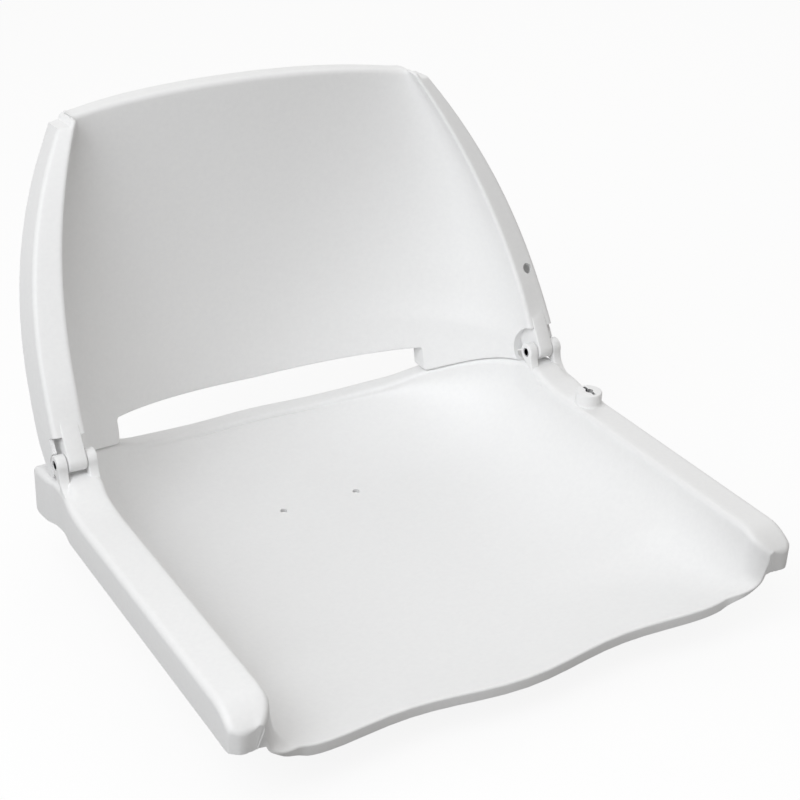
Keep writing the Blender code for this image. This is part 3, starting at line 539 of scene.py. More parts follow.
@dataclass(frozen=True)
class SharedSizes:
    """Driving sizes of the seat, metres."""

    seat_width: float = 0.500
    seat_front: float = 0.327
    wall: float = 0.0034
    piece_gap: float = 0.0003
    cut_spare: float = 0.005
    rail_width: float = 0.036
    rim_reach: float = 0.130
    rail_top_hinge: float = -0.015
    ear_inset: float = 0.0033
    ear_overhang: float = 0.0017
    ear_thick: float = 0.0086
    pin_radius: float = 0.0040
    boss_inset: float = 0.019
    boss_y: float = -0.0752
    border_ahead: float = 0.0082
    lean: float = math.radians(32.6)
    bolt_pitch: float = 0.127
    bolt_y: float = -0.085

    @property
    def pan_half(self) -> float:
        """Half the width between the rails."""
        return self.seat_width / 2 - self.rail_width

    @property
    def ear_outer(self) -> float:
        """Distance of the outer ears' outer faces from the middle."""
        return self.seat_width / 2 - self.ear_inset

    @property
    def ear_inner(self) -> float:
        """Distance of the inner ears' inner faces from the middle."""
        return self.pan_half - self.ear_overhang

    @property
    def knuckle(self) -> tuple[float, float]:
        """Where a knuckle lies between its ears, as distances from the middle."""
        apart = self.ear_thick + self.piece_gap
        return self.ear_inner + apart, self.ear_outer - apart

    @property
    def boss_x(self) -> float:
        """Distance of the lock boss from the middle."""
        return self.seat_width / 2 - self.boss_inset

    @property
    def pin_hole(self) -> float:
        """Radius of the holes that the hinge pins pass through."""
        return self.pin_radius + self.piece_gap

    @property
    def face_out(self) -> Vector:
        """Direction that the backrest's border faces."""
        return Vector((0.0, -math.cos(self.lean), math.sin(self.lean)))

    @property
    def face_up(self) -> Vector:
        """Direction up along the backrest's border."""
        return Vector((0.0, math.sin(self.lean), math.cos(self.lean)))


@dataclass
class Skin(Draft):
    """The show side of a moulding: a sheet, its border loop and what each point of the loop turns into."""

    loop: list[int] = field(default_factory=list)
    skirts: list[Skirt] = field(default_factory=list)

    def thicken(self, wall: float, steps: int = 6) -> Draft:
        """Gives the sheet its wall and turns its border down into a skirt.

        Args:
            wall: Wall thickness.
            steps: Pieces that the rounded border is divided into.

        Returns:
            The closed shell.
        """
        normals = corner_normals(self.points, self.faces)
        count = len(self.loop)
        body = [p.copy() for p in self.points]
        faces = [tuple(face) for face in self.faces]
        start = len(body)
        body += [p - n * wall for p, n in zip(self.points, normals)]
        faces += [tuple(start + k for k in face[::-1]) for face in self.faces]
        rings: list[list[Vector]] = [[] for _ in range(steps + 2)]
        for i, k in enumerate(self.loop):
            radius, way, length = self.skirts[i]
            here = self.points[k]
            before = (here - self.points[self.loop[i - 1]]).normalized()
            after = (self.points[self.loop[(i + 1) % count]] - here).normalized()
            out = (before + after).normalized().cross(normals[k]).normalized()
            reach = 1.0 / max(SKIRT_LIMIT, math.sqrt(max(0.0, (1.0 + before.dot(after)) / 2.0)))
            down = (way - out * way.dot(out)).normalized()
            sweep = math.acos(max(-1.0, min(1.0, way.dot(out))))
            spare = wall - radius
            body[start + k] -= out * (spare * reach * (math.tan(sweep / 2) if spare > 0.0 else 1.0))
            for step in range(steps):
                turn = sweep * (step + 1) / steps
                across = out * (math.sin(turn) * reach) + down * (1.0 - math.cos(turn))
                rings[step].append(here + across * radius)
            foot = rings[steps - 1][-1] + way * length
            rings[steps].append(foot)
            rings[steps + 1].append(foot - (out * math.sin(sweep) - down * math.cos(sweep)) * (wall * reach))
        index = [list(self.loop)]
        for ring in rings:
            index.append(list(range(len(body), len(body) + count)))
            body += ring
        index.append([start + k for k in self.loop])
        for upper, lower in zip(index, index[1:]):
            faces += ring_faces(upper, lower, flip=True)
        return Draft(body, faces)


@dataclass
class SeatShell:
    """The seat moulding: dished pan, side rails, hinge ears, front lip, lock boss, and what is underneath."""

    shared: SharedSizes
    rim_round: float = 0.005
    rim_rear: float = -0.0735
    floor_low: float = 0.1075
    floor_low_y: float = -0.050
    floor_front: float = 0.082
    rear_step: float = 0.0025
    floor_side_rise: float = 0.0040
    front_side_rise: float = 0.0045
    front_rise_long: float = 0.177
    side_power: float = 4.5
    front_power: float = 18.0
    rear_power: float = 3.2
    front_tight_long: float = 0.117
    front_tight_end: float = 0.009
    ledge_width: float = 0.020
    ledge_round: float = 0.0030
    ledge_deep: float = 0.013
    ledge_dip: float = 0.0045
    dip_turn: float = 36.0
    dip_blend: float = 13.0
    ledge_level_turn: float = 8.0
    ledge_high_turn: float = 92.0
    rail_end_blend: float = 8.5
    front_wave: float = 0.0045
    front_set_back: float = 0.011
    nose_ahead: float = 0.0036
    nose_round: float = 0.0070
    nose_foot: float = 0.006
    nose_blend: float = 0.012
    nose_plan: float = 0.0045
    nose_flare: float = 0.0090
    nose_flare_long: float = 0.016
    nose_edge: float = 0.0022
    nose_edge_reach: float = 0.67
    flare_from: float = 0.02
    flare_full: float = 0.45
    nose_fill: float = 0.0005
    nose_fan: float = 0.4
    nose_fall: float = 0.766
    corner_fall: float = 0.92
    corner_blend: float = 0.024
    lip_height: float = 0.0092
    lip_round: float = 0.0017
    lip_least: float = 0.0014
    lip_fade_from: float = 0.87
    lip_fade_to: float = 0.995
    lip_turn_from: float = 0.93
    lip_turn_drop: float = 0.05
    end_face_from: float = 0.05
    end_face_full: float = 0.6
    end_face_foot: float = 0.0015
    end_face_spread: float = 0.0040
    rail_top: float = -0.021
    rail_lift_y: float = -0.060
    rail_lift_long: float = 0.048
    rail_bottom: float = -0.0545
    rail_bottom_rear: float = -0.064
    rail_drop_y: float = -0.030
    rail_rear: float = 0.048
    rail_round: float = 0.006
    rail_nose: float = 0.026
    rail_nose_drop: float = 0.011
    rail_slope: float = 0.09
    rail_corner_share: float = 0.85
    rear_slope_power: int = 16
    ear_radius: float = 0.0083
    ear_fillet: float = 0.018
    ear_fillet_sink: float = 0.0045
    ear_fillet_turn: float = 84.0
    ear_back_turn: float = 60.0
    ear_root: float = 0.0088
    ear_edge: float = 0.0010
    ear_sunk: float = 0.0002
    saddle_top: float = -0.0112
    saddle_level: float = -0.011
    saddle_front: float = -0.034
    saddle_rear: float = 0.020
    saddle_deep: float = 0.004
    ear_blend: float = 0.010
    boss_radius: float = 0.0118
    boss_top: float = -0.0095
    boss_edge: float = 0.0012
    boss_fillet: float = 0.0030
    boss_sink: float = 0.0004
    boss_core: float = 0.0005
    boss_sides: int = 56
    slot_long: float = 0.0170
    slot_wide: float = 0.0030
    slot_deep: float = 0.0060
    slot_socket: float = 0.0036
    slot_near: float = 0.0002
    drain_x: float = 0.037
    drain_y: float = 0.0055
    drain_radius: float = 0.0032
    rib_thick: float = 0.0032
    gusset_first: float = 0.072
    gusset_pitch: float = 0.070
    gusset_count: int = 3
    gusset_lift: float = 0.004
    gusset_steps: int = 8
    floor_steps: int = 8
    bowl_steps: int = 26
    edge_steps: int = 6
    band_steps: int = 6
    corner_columns: tuple[float, ...] = (0.88, 0.92, 0.96, 1.0)
    row_count: int = 62
    row_crowd: float = 0.4
    row_gap: float = 0.01
    second_row: float = 0.0065
    hinge_rows: int = 14
    hinge_rows_reach: float = 1.4
    turn_gap: float = 0.4

    @property
    def floor_rear(self) -> float:
        """Depth of the floor at the rear rim, before it rises to it."""
        return self.rim_round - self.rim_rear + self.rear_step

    def floor_height(self, x: float, y: float) -> float:
        """Height of the dished floor before it rises to the rim.

        Args:
            x: Place across.
            y: Place along.

        Returns:
            The height.
        """
        front, half = self.shared.seat_front, self.shared.pan_half
        if y < self.floor_low_y:
            t = (self.floor_low_y - y) / (self.floor_low_y + front)
            low = mix(-self.floor_low, -self.floor_front, t * t)
        else:
            t = (y - self.floor_low_y) / (self.shared.rim_reach - self.floor_low_y)
            low = mix(-self.floor_low, -self.floor_rear, t * t)
        rise = self.floor_side_rise + self.front_side_rise * smooth_step(self.front_rise_long, 0.0, y + front)
        return low + rise * (x / half) ** 2

    def rail_height(self, y: float) -> float:
        """Height of the rail's top at its inner edge, for the part ahead of the hinge."""
        nose = max(0.0, (self.rail_nose - self.shared.seat_front - y) / self.rail_nose)
        lift = smooth_step(0.0, self.rail_lift_long, y - self.rail_lift_y)
        return mix(self.rail_top, self.shared.rail_top_hinge, lift) - self.rail_nose_drop * nose * nose

    def rail_face(self, x: float, y: float) -> float:
        """Height of the rail's top face, which slopes down to the outside."""
        return self.rail_height(y) - self.rail_slope * (x - self.shared.pan_half - self.rim_round)

    def rail_foot(self, y: float) -> float:
        """Height of the rail's lower edge, which drops to the rear."""
        return mix(self.rail_bottom, self.rail_bottom_rear, smooth_step(self.rail_drop_y, self.rail_rear, y))

    def ledge_height(self, turn: float) -> float:
        """Height of the ledge behind the hinge, which dips between the places where the tabs rest.

        Args:
            turn: Angle round the rear in degrees, 0 in the middle and 90 at the hinge.

        Returns:
            The height.
        """
        turn = abs(turn)
        rise = smooth_step(self.ledge_level_turn, self.ledge_high_turn, turn)
        high = mix(self.rim_rear, self.shared.rail_top_hinge, rise)
        return high - self.ledge_dip * (1.0 - smooth_step(self.dip_turn, self.dip_turn + self.dip_blend, turn))

    def ledge_height_at(self, x: float, y: float) -> float:
        """Height of the ledge beside a place in plan."""
        return self.ledge_height(math.degrees(math.atan2(abs(x) / self.shared.pan_half, y / self.shared.rim_reach)))

    def wall_power(self, y: float) -> float:
        """How square the corner between floor and side wall is: round along the seat, tight at the front."""
        tight = smooth_step(self.front_tight_long, self.front_tight_end, y + self.shared.seat_front)
        return mix(self.side_power, self.front_power, tight)

    def turn_power(self, turn: float) -> float:
        """The same round the rear, by the angle in radians."""
        return mix(self.side_power, self.rear_power, math.cos(turn) ** 2)

    def front_edge(self, x: float) -> float:
        """Place of the front edge at a place across: a wave, running out into the rails' ends."""
        x = abs(x)
        front, half = self.shared.seat_front, self.shared.pan_half
        pitch = half - self.corner_blend
        wave = self.front_set_back - front - self.front_wave * math.cos(2 * math.pi * min(1.0, x / pitch))
        nose = self.nose_reach(x) - front - self.nose_ahead
        return mix(wave, nose, smooth_step(pitch, half - self.nose_foot, x))

    def nose_radius(self, x: float) -> float:
        """Radius at the front of the rail's top, smaller towards the pan's wall."""
        inner = self.shared.pan_half + self.rim_round
        return mix(self.nose_edge, self.nose_round, smooth_step(inner, inner + self.nose_blend, x))

    def nose_reach(self, x: float) -> float:
        """How far the rounded front of the rail reaches past the skin's edge, so that the end face is flat."""
        slope = math.atan(2 * self.rail_nose_drop / self.rail_nose)
        inner, flared = self.shared.pan_half + self.rim_round, self.nose_edge * self.nose_edge_reach
        top = self.nose_round * (1.0 - math.sin(slope))
        over = clamp(1.0 - (inner - x) / self.rim_round)
        reach = mix(flared, top, smooth_step(inner, inner + self.nose_blend, x))
        return reach - 4 * self.nose_fill * over * (1.0 - over)

    def nose_outward(self, x: float, y: float) -> float:
        """How far the pan's wall turns outwards where it runs out into the rail's end face."""
        near = max(0.0, 1.0 - (y - self.front_edge(x)) / self.nose_flare_long)
        return self.nose_flare * near * near

    def nose_corner(self, x: float, y: float) -> tuple[float, float, float]:
        """Rounds the rail's outer front corner in plan.

        Args:
            x: Place across, on the right half.
            y: Place along.

        Returns:
            The moved place across and along, and how far into the corner it lies, from 0 to 1.
        """
        reach = self.nose_plan
        middle_x = self.shared.seat_width / 2 - self.rail_round - reach
        middle_y = self.front_edge(middle_x + reach) + reach
        u, v = (x - middle_x) / reach, (middle_y - y) / reach
        if u <= 0.0 or v <= 0.0:
            return x, y, 0.0
        moved_x = middle_x + reach * u * math.sqrt(1.0 - v * v / 2)
        return moved_x, middle_y - reach * v * math.sqrt(1.0 - u * u / 2), min(u, v)

    def saddle_along(self, y: float) -> float:
        """How much of the saddle there is at a place along, from 0 to 1."""
        if y < 0.0:
            return smooth_step(self.saddle_front, self.saddle_level, y)
        return smooth_step(self.saddle_rear, 0.0, y)

    def saddle_lift(self, x: float, y: float, top: float) -> float:
        """How far the saddle under a knuckle raises the skin.

        Args:
            x: Place across, on the right half.
            y: Place along.
            top: Height of the rail's top there without the saddle.

        Returns:
            The lift, which fades out down the pan's wall, to the rail's outer edge and behind the hinge.
        """
        shared = self.shared
        inside = smooth_step(shared.pan_half - self.saddle_deep, shared.pan_half, x)
        outside = smooth_step(shared.seat_width / 2 - self.rail_round, shared.ear_outer - shared.ear_thick, x)
        return max(0.0, self.saddle_top - top) * self.saddle_along(y) * inside * outside

    def ear_pull(self, x: float, y: float) -> float:
        """How far the pan's wall and rim come in to lie flush with the inner ear."""
        half = self.shared.pan_half
        inside = smooth_step(half - self.saddle_deep, half, x)
        outside = smooth_step(half + self.ear_blend, half, x)
        return self.shared.ear_overhang * self.saddle_along(y) * inside * outside

    def rim_place(self, turn: float) -> tuple[Vector, Vector]:
        """The rim's place behind the hinge and the direction outwards from it, by the angle in radians."""
        half, reach = self.shared.pan_half, self.shared.rim_reach
        rim = Vector((half * math.sin(turn), reach * math.cos(turn), 0.0))
        out = Vector((math.sin(turn) / half, math.cos(turn) / reach, 0.0)).normalized()
        return rim, out

    def room_to_rail_end(self, turn: float) -> float:
        """Room between the rim and the rail's rear end, along the direction outwards, by the angle in degrees."""
        rim, out = self.rim_place(math.radians(turn))
        return (self.rail_rear - self.rail_round - rim.y) / out.y if out.y > TINY else 1.0

    def room_to_side(self, turn: float) -> float:
        """Room between the rim and the rail's outer side, along the direction outwards, by the angle in degrees."""
        rim, out = self.rim_place(math.radians(turn))
        return (self.shared.seat_width / 2 - self.rail_round - rim.x) / out.x if out.x > TINY else 1.0

    def band_width(self, turn: float) -> float:
        """Width of the band outside the rim: the ledge at the rear, and the rail's end beside the hinge."""
        turn = abs(turn)
        return max(self.ledge_width - self.ledge_round, min(self.room_to_side(turn), self.room_to_rail_end(turn)))

    def find_turn(self, inside: Callable[[float], bool]) -> float:
        """Finds the angle round the rear at which a test stops holding.

        Args:
            inside: Test that holds below the angle and not above it.

        Returns:
            The angle in degrees.
        """
        low, high = 30.0, 89.0
        for _ in range(HALVINGS):
            middle = (low + high) / 2
            if inside(middle):
                low = middle
            else:
                high = middle
        return low

    @property
    def rail_end_turn(self) -> float:
        """Angle at which the ledge runs into the rail's rear end."""
        return self.find_turn(lambda turn: self.room_to_rail_end(turn) < self.ledge_width - self.ledge_round)

    @property
    def rail_corner_turn(self) -> float:
        """Angle at which the rail's rear end meets its outer side."""
        return self.find_turn(lambda turn: self.room_to_rail_end(turn) < self.room_to_side(turn))

    def columns(self) -> list[Column]:
        """Places across the seat from the middle outwards."""
        made: list[Column] = [(Zone.FLOOR, k / self.floor_steps) for k in range(self.floor_steps)]
        made += [(Zone.BOWL, k / self.bowl_steps) for k in range(1, self.bowl_steps + 1)]
        made += [(Zone.EDGE, k / self.edge_steps) for k in range(1, self.edge_steps + 1)]
        made += [(Zone.BAND, k / self.band_steps) for k in range(1, self.band_steps)]
        made += [(Zone.BAND, fraction) for fraction in self.corner_columns]
        return made

    def bowl_spot(self, column: Column, power: float) -> tuple[float, float]:
        """Where a column lies between the middle and the rim.

        Args:
            column: Column of the floor or the bowl.
            power: How square the corner between floor and wall is.

        Returns:
            Fraction of the way to the rim, and of the rise from floor to rim.
        """
        zone, fraction = column
        if zone is Zone.FLOOR:
            away = fraction * math.sin(math.pi / 2 / self.bowl_steps) ** (2.0 / power)
            return away, 1.0 - math.sqrt(max(0.0, 1.0 - away ** power))
        angle = math.pi / 2 * fraction
        return math.sin(angle) ** (2.0 / power), 1.0 - math.cos(angle)

    def row_point(self, side: float, column: Column, along: float) -> Vector:
        """A point of the skin ahead of the hinge.

        Args:
            side: -1 on the left and 1 on the right.
            column: Place across.
            along: 0 at the front edge and 1 at the hinge.

        Returns:
            The point.
        """
        zone, fraction = column
        half = self.shared.pan_half
        plain = -self.shared.seat_front * (1.0 - along)
        if zone in (Zone.FLOOR, Zone.BOWL):
            away, rise = self.bowl_spot(column, self.wall_power(plain))
            x = half * away
            y = self.front_edge(x) * (1.0 - along)
            top = self.rail_height(y)
            z = mix(self.floor_height(x, plain), top - self.rim_round, rise)
            x += self.nose_outward(x, y) * smooth_step(self.flare_from, self.flare_full, rise)
        elif zone is Zone.EDGE:
            angle = math.pi / 2 * fraction
            x = half + self.rim_round * (1.0 - math.cos(angle))
            y = self.front_edge(x) * (1.0 - along)
            top = self.rail_height(y)
            z = top - self.rim_round * (1.0 - math.sin(angle))
            x += self.nose_outward(x, y)
        else:
            x = mix(half + self.rim_round, self.shared.seat_width / 2 - self.rail_round, fraction)
            y = self.front_edge(x) * (1.0 - along)
            x, y, _ = self.nose_corner(x + self.nose_outward(x, y) * (1.0 - fraction), y)
            z = top = self.rail_face(x, y)
        z += self.saddle_lift(x, y, top)
        return Vector((side * (x - self.ear_pull(x, y)), y, z))

    def turn_point(self, column: Column, turn: float) -> Vector:
        """A point of the skin behind the hinge.

        Args:
            column: Place between the middle and the border.
            turn: Angle round the rear in degrees.

        Returns:
            The point.
        """
        zone, fraction = column
        t = math.radians(turn)
        rim, out = self.rim_place(t)
        top = self.ledge_height(turn)
        edge = top - self.rim_round
        if zone in (Zone.FLOOR, Zone.BOWL):
            away, rise = self.bowl_spot(column, self.turn_power(t))
            spot = rim * away
            spot.z = mix(self.floor_height(spot.x, spot.y), edge, rise)
        elif zone is Zone.EDGE:
            angle = math.pi / 2 * fraction
            spot = rim + out * (self.rim_round * (1.0 - math.cos(angle)))
            spot.z = mix(edge, top, math.sin(angle))
        else:
            wide = mix(self.rim_round, self.band_width(turn), fraction)
            spot = rim + out * wide
            spot.z = top = top - self.rail_slope * (wide - self.rim_round) * math.sin(t) ** self.rear_slope_power
        spot.z += self.saddle_lift(abs(spot.x), spot.y, top)
        spot.x -= math.copysign(self.ear_pull(abs(spot.x), spot.y), spot.x)
        return spot

    def pan_height(self, x: float, y: float) -> float:
        """Height of the pan's top at a place inside the rim."""
        half, reach = self.shared.pan_half, self.shared.rim_reach
        if y <= 0.0:
            away = abs(x) / half
            power = self.wall_power(y)
            top = self.rail_height(y) - self.rim_round
        else:
            away = math.hypot(x / half, y / reach)
            turn = math.atan2(abs(x) / half, y / reach)
            power = self.turn_power(turn)
            top = self.ledge_height(math.degrees(turn)) - self.rim_round
        rise = 1.0 - math.sqrt(max(0.0, 1.0 - min(1.0, away) ** power))
        return mix(self.floor_height(x, y), top, rise)

    def rows(self) -> list[float]:
        """Places along the seat from the front edge to the hinge, closer together at both ends."""
        shares = [k / self.row_count for k in range(self.row_count + 1)]
        hinge = 1.0 + self.hinge_rows_reach * self.saddle_front / self.shared.seat_front
        crowded = [share + self.row_crowd * (share * share - share) for share in shares]
        plain = [t for t in crowded if t < hinge - self.row_gap]
        fine = [mix(hinge, 1.0, k / self.hinge_rows) for k in range(self.hinge_rows + 1)]
        return plain[:1] + [self.second_row] + plain[1:] + fine

    def turns(self) -> list[float]:
        """Angles round the rear from right to left, closer beside the hinges, the rail's end and corner among them."""
        marks = [self.rail_end_turn, self.rail_corner_turn]
        plain = [90.0 - k for k in range(1, 31)] + [60.0 - 2.0 * k for k in range(1, 30)]
        turns = marks + [t for t in plain if min(abs(t - mark) for mark in marks) > self.turn_gap]
        turns.sort(reverse=True)
        return [90.0] + turns + [0.0] + [-t for t in turns[::-1]] + [-90.0]

    def front_skirt(self, point: Vector, column: Column, side: float) -> Skirt:
        """The front lip under the pan, the bare edge of the side wall, and the end face of the rail."""
        wall, half = self.shared.wall, self.shared.pan_half
        foot = half + self.nose_flare + wall + self.end_face_foot
        if column[0] is Zone.BAND:
            inner, outer = half + self.rim_round, self.shared.seat_width / 2 - self.rail_round
            x = mix(inner, outer, column[1])
            into = self.nose_corner(x, self.front_edge(x))[2]
            radius = mix(self.nose_radius(x), self.rail_round * self.rail_corner_share, into)
            aside = (foot + self.end_face_spread - inner - self.nose_flare) * (1.0 - column[1])
            way = Vector((side * aside, 0.0, self.rail_bottom - point.z))
            return radius, way.normalized(), way.length - radius * mix(self.nose_fall, self.corner_fall, into)
        away = abs(point.x) / half
        above = (point.z - self.rail_bottom) / (self.rail_top - self.rail_nose_drop - self.rail_bottom)
        if above > self.end_face_from:
            shown = smooth_step(self.end_face_from, self.end_face_full, above)
            radius = mix(self.lip_round, self.nose_edge, shown)
            share = mix(self.nose_fan * min(1.0, above), 1.0, column[1] if column[0] is Zone.EDGE else 0.0)
            way = Vector((side * (foot + self.end_face_spread * share), point.y, self.rail_bottom)) - point
            return radius, way.normalized(), max(wall, way.length - radius * self.nose_fall)
        tall = mix(self.lip_height, wall, smooth_step(self.lip_fade_from, self.lip_fade_to, away))
        aside = Vector((side, 0.0, -self.lip_turn_drop))
        way = mix(DOWN, aside, smooth_step(self.lip_turn_from, 1.0, away)).normalized()
        return self.lip_round, way, max(tall - self.lip_round, self.lip_least)

    def side_skirt(self, point: Vector) -> Skirt:
        """The rail's outer side."""
        outer = self.shared.seat_width / 2 - self.rail_round
        into = max(0.0, outer - abs(point.x)) / (self.nose_plan * (1.0 - math.sqrt(0.5)))
        share = min(1.0, into) if point.y < self.rail_drop_y else 0.0
        radius = self.rail_round * mix(1.0, self.rail_corner_share, share)
        return radius, DOWN, point.z - radius - self.rail_foot(point.y)

    def rear_skirt(self, point: Vector, turn: float) -> Skirt:
        """The ledge's turned-down edge, and the rail's end beside the hinge."""
        end = self.rail_end_turn
        beside = smooth_step(end - self.rail_end_blend, end, abs(turn))
        radius = mix(self.ledge_round, self.rail_round, beside)
        foot = mix(point.z - self.ledge_deep, self.rail_foot(point.y), beside)
        return radius, DOWN, point.z - radius - foot

    def skin(self) -> Skin:
        """The seat's top skin: rows ahead of the hinge and a half turn behind it, with its border loop.

        Returns:
            The skin with what its border turns into.
        """
        columns, rows, turns = self.columns(), self.rows(), self.turns()
        last, end = len(columns) - 1, len(rows) - 1
        made = Skin()
        index: dict[tuple, int] = {}

        def add(key: tuple, point: Vector) -> None:
            """Keeps a point under a key."""
            index[key] = len(made.points)
            made.points.append(point)

        def turn_key(m: int, k: int) -> tuple:
            """Key of a point behind the hinge, on the last row where the two stretches share it."""
            if k == 0:
                return "row", end, 0
            if m == 0:
                return "row", end, k
            if m == len(turns) - 1:
                return "row", end, -k
            return "turn", m, k

        for j, along in enumerate(rows):
            for i in range(-last, last + 1):
                add(("row", j, i), self.row_point(-1.0 if i < 0 else 1.0, columns[abs(i)], along))
        for m in range(1, len(turns) - 1):
            for k in range(1, last + 1):
                add(("turn", m, k), self.turn_point(columns[k], turns[m]))
        for j in range(end):
            for i in range(-last, last):
                corners = (("row", j, i), ("row", j, i + 1), ("row", j + 1, i + 1), ("row", j + 1, i))
                made.faces.append(tuple(index[key] for key in corners))
        for m in range(len(turns) - 1):
            for k in range(last):
                corners = (turn_key(m, k), turn_key(m, k + 1), turn_key(m + 1, k + 1), turn_key(m + 1, k))
                ring = [index[key] for key in corners]
                made.faces.append(tuple(ring[:-1] if ring[0] == ring[3] else ring))
        border: list[tuple[tuple, Callable[[Vector], Skirt]]] = []
        for i in range(-last, last + 1):
            side = 1.0 if i >= 0 else -1.0
            border.append((("row", 0, i), lambda p, i=i, side=side: self.front_skirt(p, columns[abs(i)], side)))
        border += [(("row", j, last), self.side_skirt) for j in range(1, end + 1)]
        for m in range(1, len(turns) - 1):
            border.append((turn_key(m, last), lambda p, m=m: self.rear_skirt(p, turns[m])))
        border += [(("row", j, -last), self.side_skirt) for j in range(end, 0, -1)]
        for key, skirt in border:
            made.loop.append(index[key])
            made.skirts.append(skirt(made.points[index[key]]))
        return made

    def ear_outline(self) -> Outline:
        """Side view of an ear: a round head that leans back from its root, with a fillet onto the rail ahead."""
        top = self.shared.rail_top_hinge
        foot = top - self.ear_root
        turn = math.radians(self.ear_back_turn)
        drop = -self.ear_radius * math.sin(turn) - top
        rear = self.ear_radius * math.cos(turn) - drop * math.tan(turn)
        height = top - self.ear_fillet_sink + self.ear_fillet
        apart = self.ear_radius + self.ear_fillet
        touch = math.degrees(math.asin(height / apart))
        ahead = -apart * math.cos(math.radians(touch))
        outline = [(rear, foot), (rear, top)]
        outline += arc((0.0, 0.0), self.ear_radius, -self.ear_back_turn, 180 - touch, 36)
        outline += arc((ahead, height), self.ear_fillet, -touch, -self.ear_fillet_turn, 14)[1:]
        outline += [(ahead, foot)]
        return outline

    def ears(self) -> Draft:
        """The two pairs of hinge ears."""
        shared, made = self.shared, Draft()
        for side in Side:
            for low, high in ((shared.ear_inner + self.ear_sunk, shared.ear_inner + shared.ear_thick),
                              (shared.ear_outer - shared.ear_thick, shared.ear_outer)):
                made.add(prism(self.ear_outline(), *side.span(low, high), along_x, self.ear_edge))
        return made

    def boss(self) -> Draft:
        """The lock boss on the right rail, with a fillet round its foot."""
        x, y = self.shared.boss_x, self.shared.boss_y
        wide, edge, fillet = self.boss_radius, self.boss_edge, self.boss_fillet
        base = self.rail_face(x, y) - self.boss_sink
        foot = base - self.shared.wall / 2
        profile = [(foot, self.boss_core), (foot, wide + fillet)]
        profile += arc((base + fillet, wide + fillet), fillet, 180, 270, 6)
        profile += arc((self.boss_top - edge, wide - edge), edge, 90, 0, 4)
        profile += [(self.boss_top, self.boss_core)]
        return lathe(profile, self.boss_sides).moved(Vector((x, y, 0.0)))

    def wall_reach(self, y: float, z: float) -> float:
        """Half width of the pan's inside at a height on the side wall."""
        top = self.rail_height(y) - self.rim_round
        depth = clamp((top - z) / (top - self.floor_height(self.shared.pan_half, y)))
        return self.shared.pan_half * (1.0 - depth * depth) ** (1.0 / self.wall_power(y))

    def gussets(self) -> Draft:
        """Cross walls inside the hollow rails, from the middle of one wall to the middle of the other."""
        shared, made = self.shared, Draft()
        half_wall = shared.wall / 2
        outer = shared.seat_width / 2 - half_wall
        corner = shared.seat_width / 2 - self.rail_round
        low = self.rail_bottom + self.gusset_lift
        for k in range(self.gusset_count):
            y = self.gusset_first - shared.seat_front + self.gusset_pitch * k
            edge, rim = self.rail_face(corner, y), self.rail_height(y)
            heights = [mix(rim - shared.wall, low, n / self.gusset_steps) for n in range(self.gusset_steps + 1)]
            outline = [(outer, low), (outer, edge - self.rail_round), (corner, edge - half_wall)]
            outline += [(shared.pan_half + self.rim_round, rim - half_wall)]
            outline += [(self.wall_reach(y, z) + half_wall, z) for z in heights]
            for side in Side:
                turned = [(side.value * u, v) for u, v in outline]
                made.add(prism(turned, y - self.rib_thick / 2, y + self.rib_thick / 2, along_y))
        return made

    def slot_outline(self) -> Outline:
        """Plan of the boss's slot: narrow along the rail, with a round socket in the middle."""
        half, wide, socket = self.slot_long / 2, self.slot_wide / 2, self.slot_socket
        lean = math.degrees(math.asin(wide / socket))
        outline = [(wide, half), (-wide, half)]
        outline += arc((0.0, 0.0), socket, 90 + lean, 270 - lean, 16)
        outline += [(-wide, -half), (wide, -half)]
        outline += arc((0.0, 0.0), socket, 270 + lean, 450 - lean, 16)
        return [(self.shared.boss_x + u, self.shared.boss_y + v) for u, v in outline]

    def holes(self) -> Draft:
        """Everything that is cut through: pin holes, drain holes and the boss's slot."""
        shared, made = self.shared, Draft()
        spare = shared.cut_spare
        floor = self.pan_height(self.drain_x, self.drain_y)
        for side in Side:
            ends = side.span(shared.ear_inner - spare, shared.ear_outer + spare)
            made.add(prism(disc((0.0, 0.0), shared.pin_hole), *ends, along_x))
            ring = disc((side.value * self.drain_x, self.drain_y), self.drain_radius, 32)
            made.add(prism(ring, floor - shared.wall - spare, floor + spare, along_z))
        made.add(prism(self.slot_outline(), self.boss_top - self.slot_deep, self.boss_top + spare, along_z))
        return made

    def in_slot(self, spot: Vector) -> bool:
        """Whether a place in the frame lies on the walls or the floor of the boss's slot."""
        half_deep, near = self.slot_deep / 2, self.slot_near
        away = spot - (Vector((self.shared.boss_x, self.shared.boss_y, self.boss_top - half_deep)) + HINGE)
        if abs(away.y) >= self.slot_long / 2 + near or abs(away.x) >= self.slot_socket + near:
            return False
        return abs(away.z) < half_deep - near / 2 or abs(away.z + half_deep) < near

    def build(self, finish: MouldedPlastic, slot_shade: MouldedPlastic) -> bpy.types.Object:
        """Builds and dresses the seat moulding.

        Args:
            finish: The plastic it is moulded in.
            slot_shade: Near-black plastic on the walls and floor of the boss's slot: painted shade in place of the
                shadow inside the slot.

        Returns:
            The seat's object.
        """
        body = self.skin().thicken(self.shared.wall).build("seat_moulding")
        added = self.ears().add(self.boss()).add(self.gussets())
        combine(body, [(Step.JOIN, added), (Step.CUT, self.holes())])
        body.data.materials.clear()
        body.data.materials.append(finish.material())
        body.data.materials.append(slot_shade.material())
        # Faces on the slot's walls and floor take the second material, a near-black painted shade that stands in for
        # the shadow inside the slot.
        for face in body.data.polygons:
            face.material_index = int(self.in_slot(face.center))
        shade(body)
        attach(body, "seat")
        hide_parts("seat_shell")
        return body


